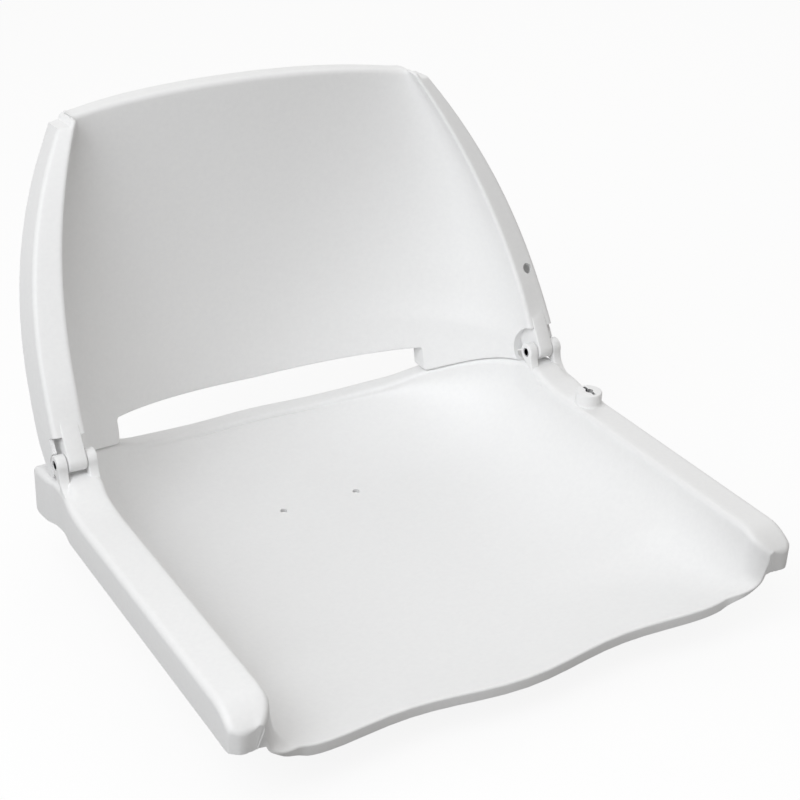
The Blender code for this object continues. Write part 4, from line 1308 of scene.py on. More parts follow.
@dataclass
class BackrestShell:
    """The backrest moulding: scooped panel, borders, tongues with knuckles, and the edges turned back."""

    shared: SharedSizes
    seat: SeatShell
    back_rise: float = 0.239
    back_inset: float = 0.005
    back_taper: float = 0.0716
    taper_start: float = 0.010
    taper_power: float = 2.4
    border_over: float = 0.003
    border_top_loss: float = 0.0135
    border_loss_power: int = 3
    border_turn: float = 0.0065
    hinge_turn_share: float = 0.35
    turn_start: float = 0.020
    turn_rise: float = 0.060
    border_bow: float = 0.0021
    border_round: float = 0.0050
    scoop_deep: float = 0.0085
    scoop_round: float = 0.0045
    panel_set_back: float = 0.008
    panel_low_z: float = -0.039
    panel_top_deep: float = 0.0234
    panel_power_low: float = 1.8
    panel_power_top: float = 2.9
    set_out_z: float = -0.030
    top_arch: float = 0.0111
    top_depth: float = 0.020
    top_rear_bend: float = 0.0185
    top_bend_power: int = 4
    top_draft: float = 0.05
    side_depth: float = 0.029
    side_flare: float = 0.17
    side_short: float = 0.026
    side_short_rise: float = 0.026
    cut_half: float = 0.1575
    cut_rise: float = 0.018
    cut_power: float = 1.5
    cut_round: float = 0.0045
    cut_slant: float = 0.0007
    tab_round: float = 0.0030
    low_round: float = 0.0016
    low_depth: float = 0.018
    low_square_from: float = 0.08
    low_square_to: float = 0.74
    low_deep_to: float = 0.33
    return_spare: float = 0.0008
    tab_gap: float = 0.0008
    tab_end: float = math.pi / 2 - math.radians(14.0)
    tongue_proud: float = 0.0001
    tongue_deep: float = 0.020
    tongue_deep_low: float = 0.008
    tongue_rise: float = 0.030
    tongue_top: float = 0.050
    tongue_face: float = 0.027
    tongue_root_share: float = 0.6
    tongue_inset: float = 0.0005
    tongue_edge: float = 0.0014
    relief_aside: float = 0.0002
    ear_relief: float = 0.022
    head_gap: float = 0.0009
    relief_from: float = 55.0
    relief_step: float = 170.0
    relief_to: float = 285.0
    side_lift: float = 0.0020
    relief_inner: float = 0.040
    relief_outer: float = 0.030
    relief_low_inner: float = 0.016
    relief_low_outer: float = 0.0015
    relief_ahead: float = 0.030
    relief_behind: float = 0.012
    relief_below: float = 0.050
    pocket_wall: float = 0.0026
    pocket_from: float = -20.0
    pocket_to: float = 70.0
    pocket_sunk: float = 0.0012
    border_hole: float = 0.0050
    row_count: int = 66
    row_crowd: float = 0.35
    panel_steps: int = 22
    tab_steps: int = 14
    pocket_steps: int = 24
    scoop_steps: int = 8
    border_steps: int = 8

    @property
    def back_half(self) -> float:
        """Half the width over the borders beside the hinge."""
        return self.shared.seat_width / 2 - self.back_inset

    @property
    def border_wide(self) -> float:
        """Width of the border's face beside the hinge."""
        return self.back_half - self.shared.pan_half - self.border_over

    @property
    def top_half(self) -> float:
        """Half the width over the borders at the top."""
        return self.back_half - self.back_taper

    def taper_share(self, z: float) -> float:
        """Fraction of the way up the border's taper."""
        return max(0.0, z - self.taper_start) / (self.back_rise - self.taper_start)

    def border_outer(self, z: float) -> tuple[float, float]:
        """Outer edge of the border's face at a height, as x and y."""
        share = z / self.back_rise
        lean = self.shared.lean
        x = self.back_half - self.back_taper * self.taper_share(z) ** self.taper_power
        y = z * math.tan(lean) - self.shared.border_ahead / math.cos(lean)
        return x, y + 4 * self.border_bow * share * (1.0 - share)

    def border_inner(self, z: float) -> tuple[float, float]:
        """Inner edge of the border's face at a height, as x and y."""
        x, y = self.border_outer(z)
        loss = self.border_top_loss * self.taper_share(z) ** self.border_loss_power
        turned = self.border_turn * mix(self.hinge_turn_share, 1.0, smooth_step(self.turn_start, self.turn_rise, z))
        return x - self.border_wide + loss, y - turned

    @property
    def panel_top_y(self) -> float:
        """Place of the panel's middle at the top."""
        return self.border_inner(self.back_rise)[1] + self.panel_top_deep

    def panel_share(self, z: float) -> float:
        """Fraction of the way up the panel's middle."""
        return (z - self.panel_low_z) / (self.back_rise - self.panel_low_z)

    def panel_middle(self, z: float) -> float:
        """Place of the panel's middle at a height."""
        return mix(self.shared.rim_reach + self.panel_set_back, self.panel_top_y, self.panel_share(z))

    def panel_power(self, z: float) -> float:
        """How square the panel's section is: nearly an ellipse below, flatter in the middle above."""
        return mix(self.panel_power_low, self.panel_power_top, clamp(self.panel_share(z)))

    def panel_rim(self, z: float) -> float:
        """Place along of the panel's sides at a height."""
        return max(self.border_inner(z)[1] + self.scoop_deep, 0.0)

    def panel_angle(self, x: float) -> float:
        """Angle round the panel's section of a place across, at the height where both are set out."""
        return math.asin((x / self.border_inner(self.set_out_z)[0]) ** (self.panel_power(self.set_out_z) / 2))

    def columns(self) -> list[Column]:
        """Places across the backrest from the middle outwards."""
        slant, inner, outer = self.cut_slant, self.cut_half - self.cut_slant, self.cut_half + self.cut_slant
        marks = [(inner - self.cut_round) * k / self.panel_steps for k in range(self.panel_steps + 1)]
        marks += [inner - self.cut_round * (1.0 - math.sin(math.radians(18.0 * k))) for k in range(1, 6)]
        marks += [self.cut_half - slant / 3, self.cut_half + slant / 3]
        marks += [outer + self.tab_round * (1.0 - math.cos(math.radians(22.5 * k))) for k in range(4)]
        angles = [self.panel_angle(x) for x in marks]
        tab_start = self.panel_angle(outer + self.tab_round)
        angles += [mix(tab_start, self.tab_end, k / self.tab_steps) for k in range(self.tab_steps + 1)]
        angles += [mix(self.tab_end, math.pi / 2, k / 4) for k in range(1, 5)]
        made: list[Column] = [(Zone.PANEL, angle) for angle in angles]
        made += [(Zone.SCOOP, k / self.scoop_steps) for k in range(self.scoop_steps + 1)]
        made += [(Zone.BORDER, k / self.border_steps) for k in range(1, self.border_steps + 1)]
        return made

    def spot(self, column: Column, z: float) -> Vector:
        """A point of the backrest's front, right half.

        Args:
            column: Place across.
            z: Height.

        Returns:
            The point.
        """
        zone, value = column
        inner_x, inner_y = self.border_inner(z)
        outer_x, outer_y = self.border_outer(z)
        if zone is Zone.PANEL:
            power, rim = self.panel_power(z), self.panel_rim(z)
            x = inner_x * math.sin(value) ** (2.0 / power)
            y = rim + (self.panel_middle(z) - rim) * max(0.0, math.cos(value)) ** (2.0 / power)
            return Vector((x, y, z))
        across = Vector((outer_x - inner_x, outer_y - inner_y, 0.0)).normalized()
        corner = Vector((inner_x, inner_y, z))
        if zone is Zone.SCOOP:
            half = math.acos(BACK.dot(across)) / 2
            radius = self.scoop_round * math.tan(half)
            centre = corner + (BACK + across).normalized() * (self.scoop_round / math.cos(half))
            turn = Matrix.Rotation((math.pi - 2 * half) * value, 3, "Z")
            return centre + turn @ Vector((-radius, 0.0, 0.0))
        begin = corner + across * self.scoop_round
        finish = Vector((outer_x, outer_y, z)) - across * self.border_round
        return mix(begin, finish, value)

    def low(self, column: Column) -> float:
        """Lowest height of the skin in a column: the cut-out, then the tab on the ledge."""
        if column[0] is not Zone.PANEL:
            return self.low((Zone.PANEL, math.pi / 2))
        spot = self.spot(column, self.set_out_z)
        cut = self.panel_low_z + self.cut_rise * (min(spot.x, self.cut_half) / self.cut_half) ** self.cut_power
        tab = self.seat.ledge_height_at(max(spot.x, self.cut_half), spot.y) + self.tab_gap + self.low_round
        into = min(self.cut_round, max(0.0, spot.x - self.cut_half + self.cut_slant + self.cut_round))
        out = min(self.tab_round, max(0.0, spot.x - self.cut_half - self.cut_slant))
        upper = cut - self.cut_round + math.sqrt(self.cut_round ** 2 - into ** 2)
        lower = tab + self.tab_round - math.sqrt(self.tab_round ** 2 - (self.tab_round - out) ** 2)
        share = (spot.x - self.cut_half + self.cut_slant) / (2 * self.cut_slant)
        return mix(upper, lower, clamp(share))

    def high(self, x: float) -> float:
        """Top height of the skin, arched across."""
        return self.back_rise - self.top_arch * (x / self.top_half) ** 2

    def rows(self) -> list[float]:
        """Fractions of the way up, closer together at both ends."""
        shares = [k / self.row_count for k in range(self.row_count + 1)]
        return [t - self.row_crowd * math.sin(2 * math.pi * t) / (2 * math.pi) for t in shares]

    def border_skirt(self, side: float, z: float) -> Skirt:
        """The side wall, which flares out to the rear and is short beside the hinge."""
        way = (-self.shared.face_out + Vector((side * self.side_flare, 0.0, 0.0))).normalized()
        short = smooth_step(self.side_short_rise, 0.0, z)
        return self.border_round, way, mix(self.side_depth, self.side_short, short) - self.border_round

    def top_skirt(self, point: Vector) -> Skirt:
        """The top wall, which runs level to one rear edge that bends forward to the sides."""
        bend = self.top_rear_bend * (abs(point.x) / self.top_half) ** self.top_bend_power
        rear = self.panel_top_y + self.top_depth - bend
        return self.border_round, (BACK + DOWN * self.top_draft).normalized(), rear - point.y - self.border_round

    def low_skirt(self, normal: Vector, column: Column) -> Skirt:
        """Returns along the cut-out and under the tabs: straight back, and square to the wall at the hinge."""
        zone, value = column
        wall = self.shared.wall
        square = Vector((-normal.x, -normal.y, 0.0)).normalized()
        if zone is not Zone.PANEL:
            return self.low_round, square, wall - self.low_round
        cut_end = self.panel_angle(self.cut_half)
        share = (value - cut_end) / (self.tab_end - cut_end)
        way = mix(BACK, square, smooth_step(self.low_square_from, self.low_square_to, share)).normalized()
        deep = mix(wall + self.return_spare, self.low_depth, smooth_step(1.0, self.low_deep_to, share))
        return self.low_round, way, deep - self.low_round

    def skin(self) -> Skin:
        """The backrest's front skin with its border loop.

        Returns:
            The skin with what its border turns into.
        """
        columns, rows = self.columns(), self.rows()
        last, end = len(columns) - 1, len(rows) - 1
        made = Skin()
        index: dict[tuple[int, int], int] = {}
        for i in range(-last, last + 1):
            column = columns[abs(i)]
            low = self.low(column)
            high = self.high(self.spot(column, self.back_rise - self.top_arch / 2).x)
            for j, t in enumerate(rows):
                spot = self.spot(column, mix(low, high, t))
                if i < 0:
                    spot.x = -spot.x
                index[(j, i)] = len(made.points)
                made.points.append(spot)
        for j in range(end):
            for i in range(-last, last):
                made.faces.append((index[(j, i)], index[(j, i + 1)], index[(j + 1, i + 1)], index[(j + 1, i)]))
        normals = corner_normals(made.points, made.faces)
        for i in range(-last, last + 1):
            made.loop.append(index[(0, i)])
            made.skirts.append(self.low_skirt(normals[made.loop[-1]], columns[abs(i)]))
        for j in range(1, end):
            made.loop.append(index[(j, last)])
            made.skirts.append(self.border_skirt(1.0, made.points[made.loop[-1]].z))
        for i in range(last, -last - 1, -1):
            made.loop.append(index[(end, i)])
            made.skirts.append(self.top_skirt(made.points[made.loop[-1]]))
        for j in range(end - 1, 0, -1):
            made.loop.append(index[(j, -last)])
            made.skirts.append(self.border_skirt(-1.0, made.points[made.loop[-1]].z))
        return made

    def on_border(self, ahead: float, above: float) -> tuple[float, float]:
        """A place in the side view, measured along the border's outward and upward directions."""
        spot = self.shared.face_out * ahead + self.shared.face_up * above
        return spot.y, spot.z

    @property
    def front_angle(self) -> float:
        """Direction that the border faces in the side view, degrees."""
        return math.degrees(math.atan2(self.shared.face_out.z, self.shared.face_out.y))

    def tongues(self) -> Draft:
        """The knuckles, and the tongues that tie them into the borders and follow their turned faces."""
        ahead, wall = self.shared.border_ahead, self.shared.wall
        outline = arc((0.0, 0.0), ahead, self.front_angle, self.front_angle + 180, 40)
        outline += [self.on_border(-self.tongue_deep, self.tongue_deep_low)]
        outline += [self.on_border(-self.tongue_deep, self.tongue_rise)]
        outline += [self.on_border(ahead - wall * self.tongue_root_share, self.tongue_top)]
        outline += [self.on_border(ahead, self.tongue_face), self.on_border(ahead, self.tongue_face / 2)]
        slant = self.border_turn * self.hinge_turn_share * math.cos(self.shared.lean) / self.border_wide
        low, high = self.shared.knuckle
        made = Draft()

        def to_tongue(u: float, v: float, w: float) -> Vector:
            """Sets the side view out, farther ahead towards the middle as the border's face is."""
            return along_x(u, v, w) + self.shared.face_out * (slant * (self.back_half - abs(w)) + self.tongue_proud)

        for side in Side:
            ends = side.span(low + self.tongue_inset, high - self.tongue_inset)
            made.add(prism(outline, *ends, to_tongue, self.tongue_edge))
        return made

    def reliefs(self) -> Draft:
        """Clearances below the knuckles, for the ears beside them, and under the side walls behind the ears."""
        low, high = self.shared.knuckle
        aside = self.relief_aside
        step = [self.on_border(-self.relief_behind, -aside), self.on_border(self.relief_ahead, -aside)]
        step += [self.on_border(self.relief_ahead, -self.relief_below)]
        step += [self.on_border(-self.relief_behind, -self.relief_below)]
        ring = disc((0.0, 0.0), self.ear_relief, 96)
        swept = arc((0.0, 0.0), self.ear_relief, self.relief_from, self.relief_step, 40)
        swept += arc((0.0, 0.0), self.relief_ahead, self.relief_step, self.relief_to, 24)
        head = self.seat.ear_radius + self.head_gap
        swept += arc((0.0, 0.0), head, self.relief_to, self.relief_from + 360, 36)
        top, far = self.shared.rail_top_hinge + self.side_lift, self.relief_below
        under = [(-far, -far), (far, -far), (far, top), (-far, top)]
        made = Draft()
        for side in Side:
            made.add(prism(step, *side.span(low - self.relief_low_inner, high + self.relief_low_outer), along_x))
            made.add(prism(ring, *side.span(low - self.relief_inner, low + self.tongue_edge), along_x))
            made.add(prism(swept, *side.span(high - self.tongue_edge, high + self.relief_outer), along_x))
            made.add(prism(under, *side.span(high + 2 * aside, high + self.relief_outer - aside), along_x))
        return made

    def wing(self, y: float, z: float) -> float:
        """Place across at which the panel's front passes a place in the side view."""
        power, rim = self.panel_power(z), self.panel_rim(z)
        turn = math.acos(clamp((y - rim) / (self.panel_middle(z) - rim)) ** (power / 2))
        return self.border_inner(z)[0] * math.sin(turn) ** (2.0 / power)

    def pockets(self) -> Draft:
        """The curved walls that close the clearances round the ears to the rear."""
        made = Draft()
        low, high = self.ear_relief + self.relief_aside, self.ear_relief + self.pocket_wall
        shares = [k / self.pocket_steps for k in range(self.pocket_steps + 1)]
        turns = [mix(self.pocket_from, self.pocket_to, share) for share in shares]
        outer = self.shared.knuckle[1] - self.tongue_edge
        for side in Side:
            part = Draft()
            for turn in turns:
                for radius, far in ((low, False), (high, False), (high, True), (low, True)):
                    y, z = arc((0.0, 0.0), radius, turn, turn + 1.0, 1)[0]
                    x = outer if far else self.wing(y, z) + self.pocket_sunk
                    part.points.append(Vector((side.value * x, y, z)))
            count = len(turns)
            part.faces += [(0, 1, 2, 3), tuple(4 * count - 1 - k for k in range(4))]
            for start in range(0, 4 * count - 4, 4):
                part.faces += ring_faces(range(start, start + 4), range(start + 4, start + 8), flip=True)
            made.add(part.flipped() if side is Side.LEFT else part)
        return made

    def holes(self) -> Draft:
        """The pin holes, and the hole in the right border that meets the lock boss."""
        shared, made = self.shared, Draft()
        low, high = shared.knuckle
        for side in Side:
            ends = side.span(low - shared.cut_spare, high + shared.cut_spare)
            made.add(prism(disc((0.0, 0.0), shared.pin_hole), *ends, along_x))
        middle = shared.face_up * math.hypot(shared.boss_y, shared.border_ahead) + Vector((shared.boss_x, 0.0, 0.0))

        def to_face(u: float, v: float, w: float) -> Vector:
            """Sets an outline out on the border's face."""
            return middle + Vector((u, 0.0, 0.0)) + shared.face_up * v + shared.face_out * w

        start = shared.border_ahead - shared.wall - shared.cut_spare
        ring = disc((0.0, 0.0), self.border_hole, 40)
        return made.add(prism(ring, start, shared.border_ahead + 2 * shared.cut_spare, to_face))

    def build(self, finish: MouldedPlastic) -> bpy.types.Object:
        """Builds and dresses the backrest moulding.

        Args:
            finish: The plastic it is moulded in.

        Returns:
            The backrest's object.
        """
        body = self.skin().thicken(self.shared.wall).build("backrest_moulding")
        combine(body, [(Step.CUT, self.reliefs()), (Step.JOIN, self.tongues().add(self.pockets())),
                       (Step.CUT, self.holes())])
        body.data.materials.clear()
        body.data.materials.append(finish.material())
        shade(body)
        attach(body, "backrest")
        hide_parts("backrest_shell")
        return body


# Geometry node trees for what repeats.

@dataclass
class GeometryTree:
    """A geometry node tree in the making: its name, and the socket types of its named inputs."""

    name: str
    kinds: dict[str, str]

    def __post_init__(self) -> None:
        """Starts the tree with its geometry output and its inputs."""
        self.tree = bpy.data.node_groups.new(self.name, "GeometryNodeTree")
        self.tree.interface.new_socket("Geometry", in_out="OUTPUT", socket_type="NodeSocketGeometry")
        self.keys: dict[str, str] = {}
        for name, kind in self.kinds.items():
            socket = self.tree.interface.new_socket(name, in_out="INPUT", socket_type="NodeSocket" + kind)
            self.keys[name] = socket.identifier
        self.given = self.tree.nodes.new("NodeGroupInput").outputs

    def node(self, kind: str, links: dict[str | int, bpy.types.NodeSocket], **options: str) -> bpy.types.Node:
        """Adds a node.

        Args:
            kind: Blender's name for the node's type.
            links: Sockets that feed its inputs, by input name or number.
            **options: Settings of the node itself.

        Returns:
            The node.
        """
        made = self.tree.nodes.new(kind)
        for key, value in options.items():
            setattr(made, key, value)
        for key, source in links.items():
            self.tree.links.new(source, made.inputs[key])
        return made

    def end(self, geometry: bpy.types.NodeSocket, finish: bpy.types.NodeSocket) -> None:
        """Closes the tree: real geometry in place of instances, and its material."""
        real = self.node("GeometryNodeRealizeInstances", {"Geometry": geometry})
        dressed = self.node("GeometryNodeSetMaterial", {"Geometry": real.outputs[0], "Material": finish})
        out = self.tree.nodes.new("NodeGroupOutput")
        self.tree.links.new(dressed.outputs[0], out.inputs[0])

    def run(self, name: str, values: dict[str, object]) -> bpy.types.Object:
        """Runs the tree once and keeps what it makes as a plain mesh.

        Args:
            name: Name of the object.
            values: A value for each named input.

        Returns:
            The object, at the origin and without modifiers.
        """
        thing = bpy.data.objects.new(name, bpy.data.meshes.new(name))
        bpy.context.scene.collection.objects.link(thing)
        change = thing.modifiers.new(self.name, "NODES")
        change.node_group = self.tree
        for key, value in values.items():
            change[self.keys[key]] = value
        thing.data = as_mesh(thing)
        thing.modifiers.clear()
        return thing


def row_tree() -> GeometryTree:
    """Copies of a piece in a row, set out by a first place and a step.

    Returns:
        The tree, with inputs Piece, Count, First, Step and Finish.
    """
    made = GeometryTree("row of pieces", {"Piece": "Object", "Count": "Int", "First": "Vector", "Step": "Vector",
                                          "Finish": "Material"})
    given = made.given
    line = made.node("GeometryNodeMeshLine", {"Count": given["Count"], "Start Location": given["First"],
                                              "Offset": given["Step"]})
    piece = made.node("GeometryNodeObjectInfo", {"Object": given["Piece"]})
    copies = made.node("GeometryNodeInstanceOnPoints", {"Points": line.outputs[0],
                                                        "Instance": piece.outputs["Geometry"]})
    made.end(copies.outputs[0], given["Finish"])
    return made


def left_and_right(rows: GeometryTree, name: str, piece: bpy.types.Object, place: Sequence[float],
                   finish: bpy.types.Material) -> bpy.types.Object:
    """Sets two copies of a piece out, one on each side of the middle.

    Args:
        rows: The tree for rows of pieces.
        name: Name of the object.
        piece: Piece to copy, at the origin.
        place: Where the right copy goes, in the frame.
        finish: Material of both.

    Returns:
        The object that holds both copies.
    """
    across, along, up = place
    return rows.run(name, {"Piece": piece, "Count": 2, "First": (-across, along, up),
                           "Step": (2 * across, 0.0, 0.0), "Finish": finish})


def rib_tree() -> GeometryTree:
    """A rib that follows the underside of a shell along a straight line in plan.

    Returns:
        The tree, with inputs Shell, From, To, Points, Thickness, Depth, Sink and Finish.
    """
    made = GeometryTree("rib under a shell", {
        "Shell": "Object", "From": "Vector", "To": "Vector", "Points": "Int", "Thickness": "Float",
        "Depth": "Float", "Sink": "Float", "Finish": "Material"})
    given = made.given
    line = made.node("GeometryNodeCurvePrimitiveLine", {"Start": given["From"], "End": given["To"]})
    beads = made.node("GeometryNodeResampleCurve", {"Curve": line.outputs[0], "Count": given["Points"]})
    shell = made.node("GeometryNodeObjectInfo", {"Object": given["Shell"]})
    ray = made.node("GeometryNodeRaycast", {"Target Geometry": shell.outputs["Geometry"]})
    ray.inputs["Ray Direction"].default_value = (0.0, 0.0, 1.0)
    half = made.node("ShaderNodeMath", {0: given["Depth"]}, operation="MULTIPLY")
    half.inputs[1].default_value = 0.5
    lift = made.node("ShaderNodeMath", {0: given["Sink"], 1: half.outputs[0]}, operation="SUBTRACT")
    rise = made.node("ShaderNodeCombineXYZ", {"Z": lift.outputs[0]})
    seated = made.node("GeometryNodeSetPosition", {"Geometry": beads.outputs[0],
                                                   "Position": ray.outputs["Hit Position"],
                                                   "Offset": rise.outputs[0]})
    upright = made.node("GeometryNodeSetCurveNormal", {"Curve": seated.outputs[0]}, mode="Z_UP")
    section = made.node("GeometryNodeCurvePrimitiveQuadrilateral", {"Width": given["Thickness"],
                                                                    "Height": given["Depth"]})
    swept = made.node("GeometryNodeCurveToMesh", {"Curve": upright.outputs[0],
                                                  "Profile Curve": section.outputs[0]})
    swept.inputs["Fill Caps"].default_value = True
    made.end(swept.outputs[0], given["Finish"])
    return made


def join_all(name: str, things: Sequence[bpy.types.Object]) -> bpy.types.Object:
    """Puts the meshes of several objects into one.

    Args:
        name: Name of the object that stays.
        things: Objects at the origin, which are removed.

    Returns:
        The one object.
    """
    draft = Draft()
    for thing in things:
        points = [v.co - HINGE for v in thing.data.vertices]
        draft.add(Draft(points, [tuple(p.vertices) for p in thing.data.polygons]))
    kept = draft.build(name)
    for material in things[0].data.materials:
        kept.data.materials.append(material)
    for thing in things:
        bpy.data.objects.remove(thing)
    return kept


@dataclass
class Underside:
    """What is moulded under the pan: crossing ribs and four pads for the inserts."""

    shared: SharedSizes
    seat: SeatShell
    pad_radius: float = 0.015
    pad_edge: float = 0.0008
    pad_edge_share: float = 0.3
    pad_core: float = 0.0002
    pad_sides: int = 56
    socket_radius: float = 0.0053
    socket_deep: float = 0.0128
    rib_depth: float = 0.0120
    rib_points: int = 40
    rib_end: float = 0.045
    rib_side: float = 0.030

    def pad(self, top: float) -> Draft:
        """A pad with its socket, its foot on the mounting plane and its top at a height above it."""
        edge, roof, core = self.pad_edge, self.socket_deep, self.pad_core
        part = edge * self.pad_edge_share
        profile = [(0.0, self.pad_radius - edge), (part, self.pad_radius - part)]
        profile += [(edge, self.pad_radius), (top, self.pad_radius), (top, core), (roof, core)]
        profile += [(roof, self.socket_radius), (0.0, self.socket_radius)]
        return lathe(profile, self.pad_sides)

    def build(self, shell: bpy.types.Object, finish: MouldedPlastic) -> bpy.types.Object:
        """Builds the ribs and pads and sets them against the pan.

        Args:
            shell: The seat moulding that they grow from.
            finish: The plastic they are moulded in.

        Returns:
            The object that holds them.
        """
        rows, ribs, made = row_tree(), rib_tree(), []
        plastic = finish.material()
        half, middle = self.shared.bolt_pitch / 2, self.shared.bolt_y
        for y in (middle - half, middle + half):
            top = HINGE.z + self.seat.pan_height(half, y) - self.shared.wall / 2
            pad = self.pad(top).moved(-HINGE).build("pad")
            made.append(left_and_right(rows, "pads", pad, (half, y + HINGE.y, 0.0), plastic))
            bpy.data.objects.remove(pad)
        front, rear = self.rib_end - self.shared.seat_front, self.shared.rim_reach - self.rib_end
        side = self.shared.pan_half - self.rib_side
        lines = [((x, front), (x, rear)) for x in (-half, half)]
        lines += [((-side, y), (side, y)) for y in (middle - half, middle + half)]
        for start, end in lines:
            made.append(ribs.run("rib", {
                "Shell": shell, "From": (start[0], start[1] + HINGE.y, 0.0),
                "To": (end[0], end[1] + HINGE.y, 0.0), "Points": self.rib_points,
                "Thickness": self.seat.rib_thick, "Depth": self.rib_depth, "Sink": self.shared.wall / 2,
                "Finish": plastic}))
        body = join_all("seat_underside", made)
        shade(body)
        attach(body, "seat")
        return body


@dataclass
class HingePins:
    """Two slotted spring pins through the ears and knuckles."""

    shared: SharedSizes
    wall: float = 0.0014
    slot: float = 0.0016
    short: float = 0.0004
    edge: float = 0.0004

    def outline(self) -> Outline:
        """Section of a pin: a tube with an open slot along its top."""
        radius, bore = self.shared.pin_radius, self.shared.pin_radius - self.wall
        gap = math.degrees(math.asin(self.slot / 2 / radius))
        inner_gap = math.degrees(math.asin(self.slot / 2 / bore))
        outline = arc((0.0, 0.0), radius, 90 + gap, 450 - gap, 56)
        return outline + arc((0.0, 0.0), bore, 450 - inner_gap, 90 + inner_gap, 44)

    def build(self, finish: WorkedMetal) -> bpy.types.Object:
        """Builds both pins.

        Args:
            finish: The steel.

        Returns:
            The object that holds the pins.
        """
        inner, outer = self.shared.ear_inner + self.short, self.shared.ear_outer - self.short
        half, middle = (outer - inner) / 2, (outer + inner) / 2
        pin = prism(self.outline(), -half, half, along_x, self.edge)
        seed = pin.moved(-HINGE).build("pin")
        body = left_and_right(row_tree(), "hinge_pins", seed, (middle, HINGE.y, HINGE.z), finish.material())
        bpy.data.objects.remove(seed)
        shade(body)
        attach(body, "seat")
        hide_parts("hinge_pin_left", "hinge_pin_right")
        return body


@dataclass
class MountingInserts:
    """Four threaded inserts in the pads under the pan."""

    shared: SharedSizes
    radius: float = 0.0050
    long: float = 0.0120
    bore: float = 0.0027
    flange: float = 0.0012
    step: float = 0.0006
    sink: float = 0.0002
    thread_pitch: float = 0.0010
    thread_deep: float = 0.0005
    sides: int = 40

    def profile(self) -> Outline:
        """Section of an insert: flange, sleeve, waist, and a threaded bore on the way down."""
        sleeve = self.radius - self.step
        waist = sleeve - self.step
        middle = self.long / 2
        made = [(0.0, self.radius), (self.flange, self.radius), (self.flange + self.step, sleeve)]
        made += [(middle - self.step, sleeve), (middle, waist)]
        made += [(middle + 2 * self.step, waist), (middle + 3 * self.step, sleeve)]
        made += [(self.long - self.step, sleeve), (self.long, waist), (self.long, self.bore)]
        turns = int((self.long - 2 * self.step) / self.thread_pitch)
        for k in range(turns):
            crest = self.long - self.step - self.thread_pitch * k
            made += [(crest, self.bore), (crest - self.thread_pitch / 2, self.bore + self.thread_deep)]
        return made + [(self.step, self.bore), (0.0, self.bore + self.step)]

    def build(self, finish: WorkedMetal) -> bpy.types.Object:
        """Builds the four inserts.

        Args:
            finish: The brass.

        Returns:
            The object that holds the inserts.
        """
        seed = lathe(self.profile(), self.sides).moved(-HINGE).build("insert")
        half, rows, brass = self.shared.bolt_pitch / 2, row_tree(), finish.material()
        made = []
        for y in (self.shared.bolt_y - half, self.shared.bolt_y + half):
            made.append(left_and_right(rows, "inserts", seed, (half, y + HINGE.y, self.sink), brass))
        bpy.data.objects.remove(seed)
        body = join_all("mounting_inserts", made)
        shade(body)
        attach(body, "seat")
        places = [f"{end}_{side}" for end in ("front", "rear") for side in ("left", "right")]
        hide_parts(*(f"mounting_insert_{place}" for place in places))
        return body


@dataclass(frozen=True)
class Lamp:
    """A square soft lamp: where it hangs and its watts."""

    name: str
    place: tuple[float, float, float]
    power: float


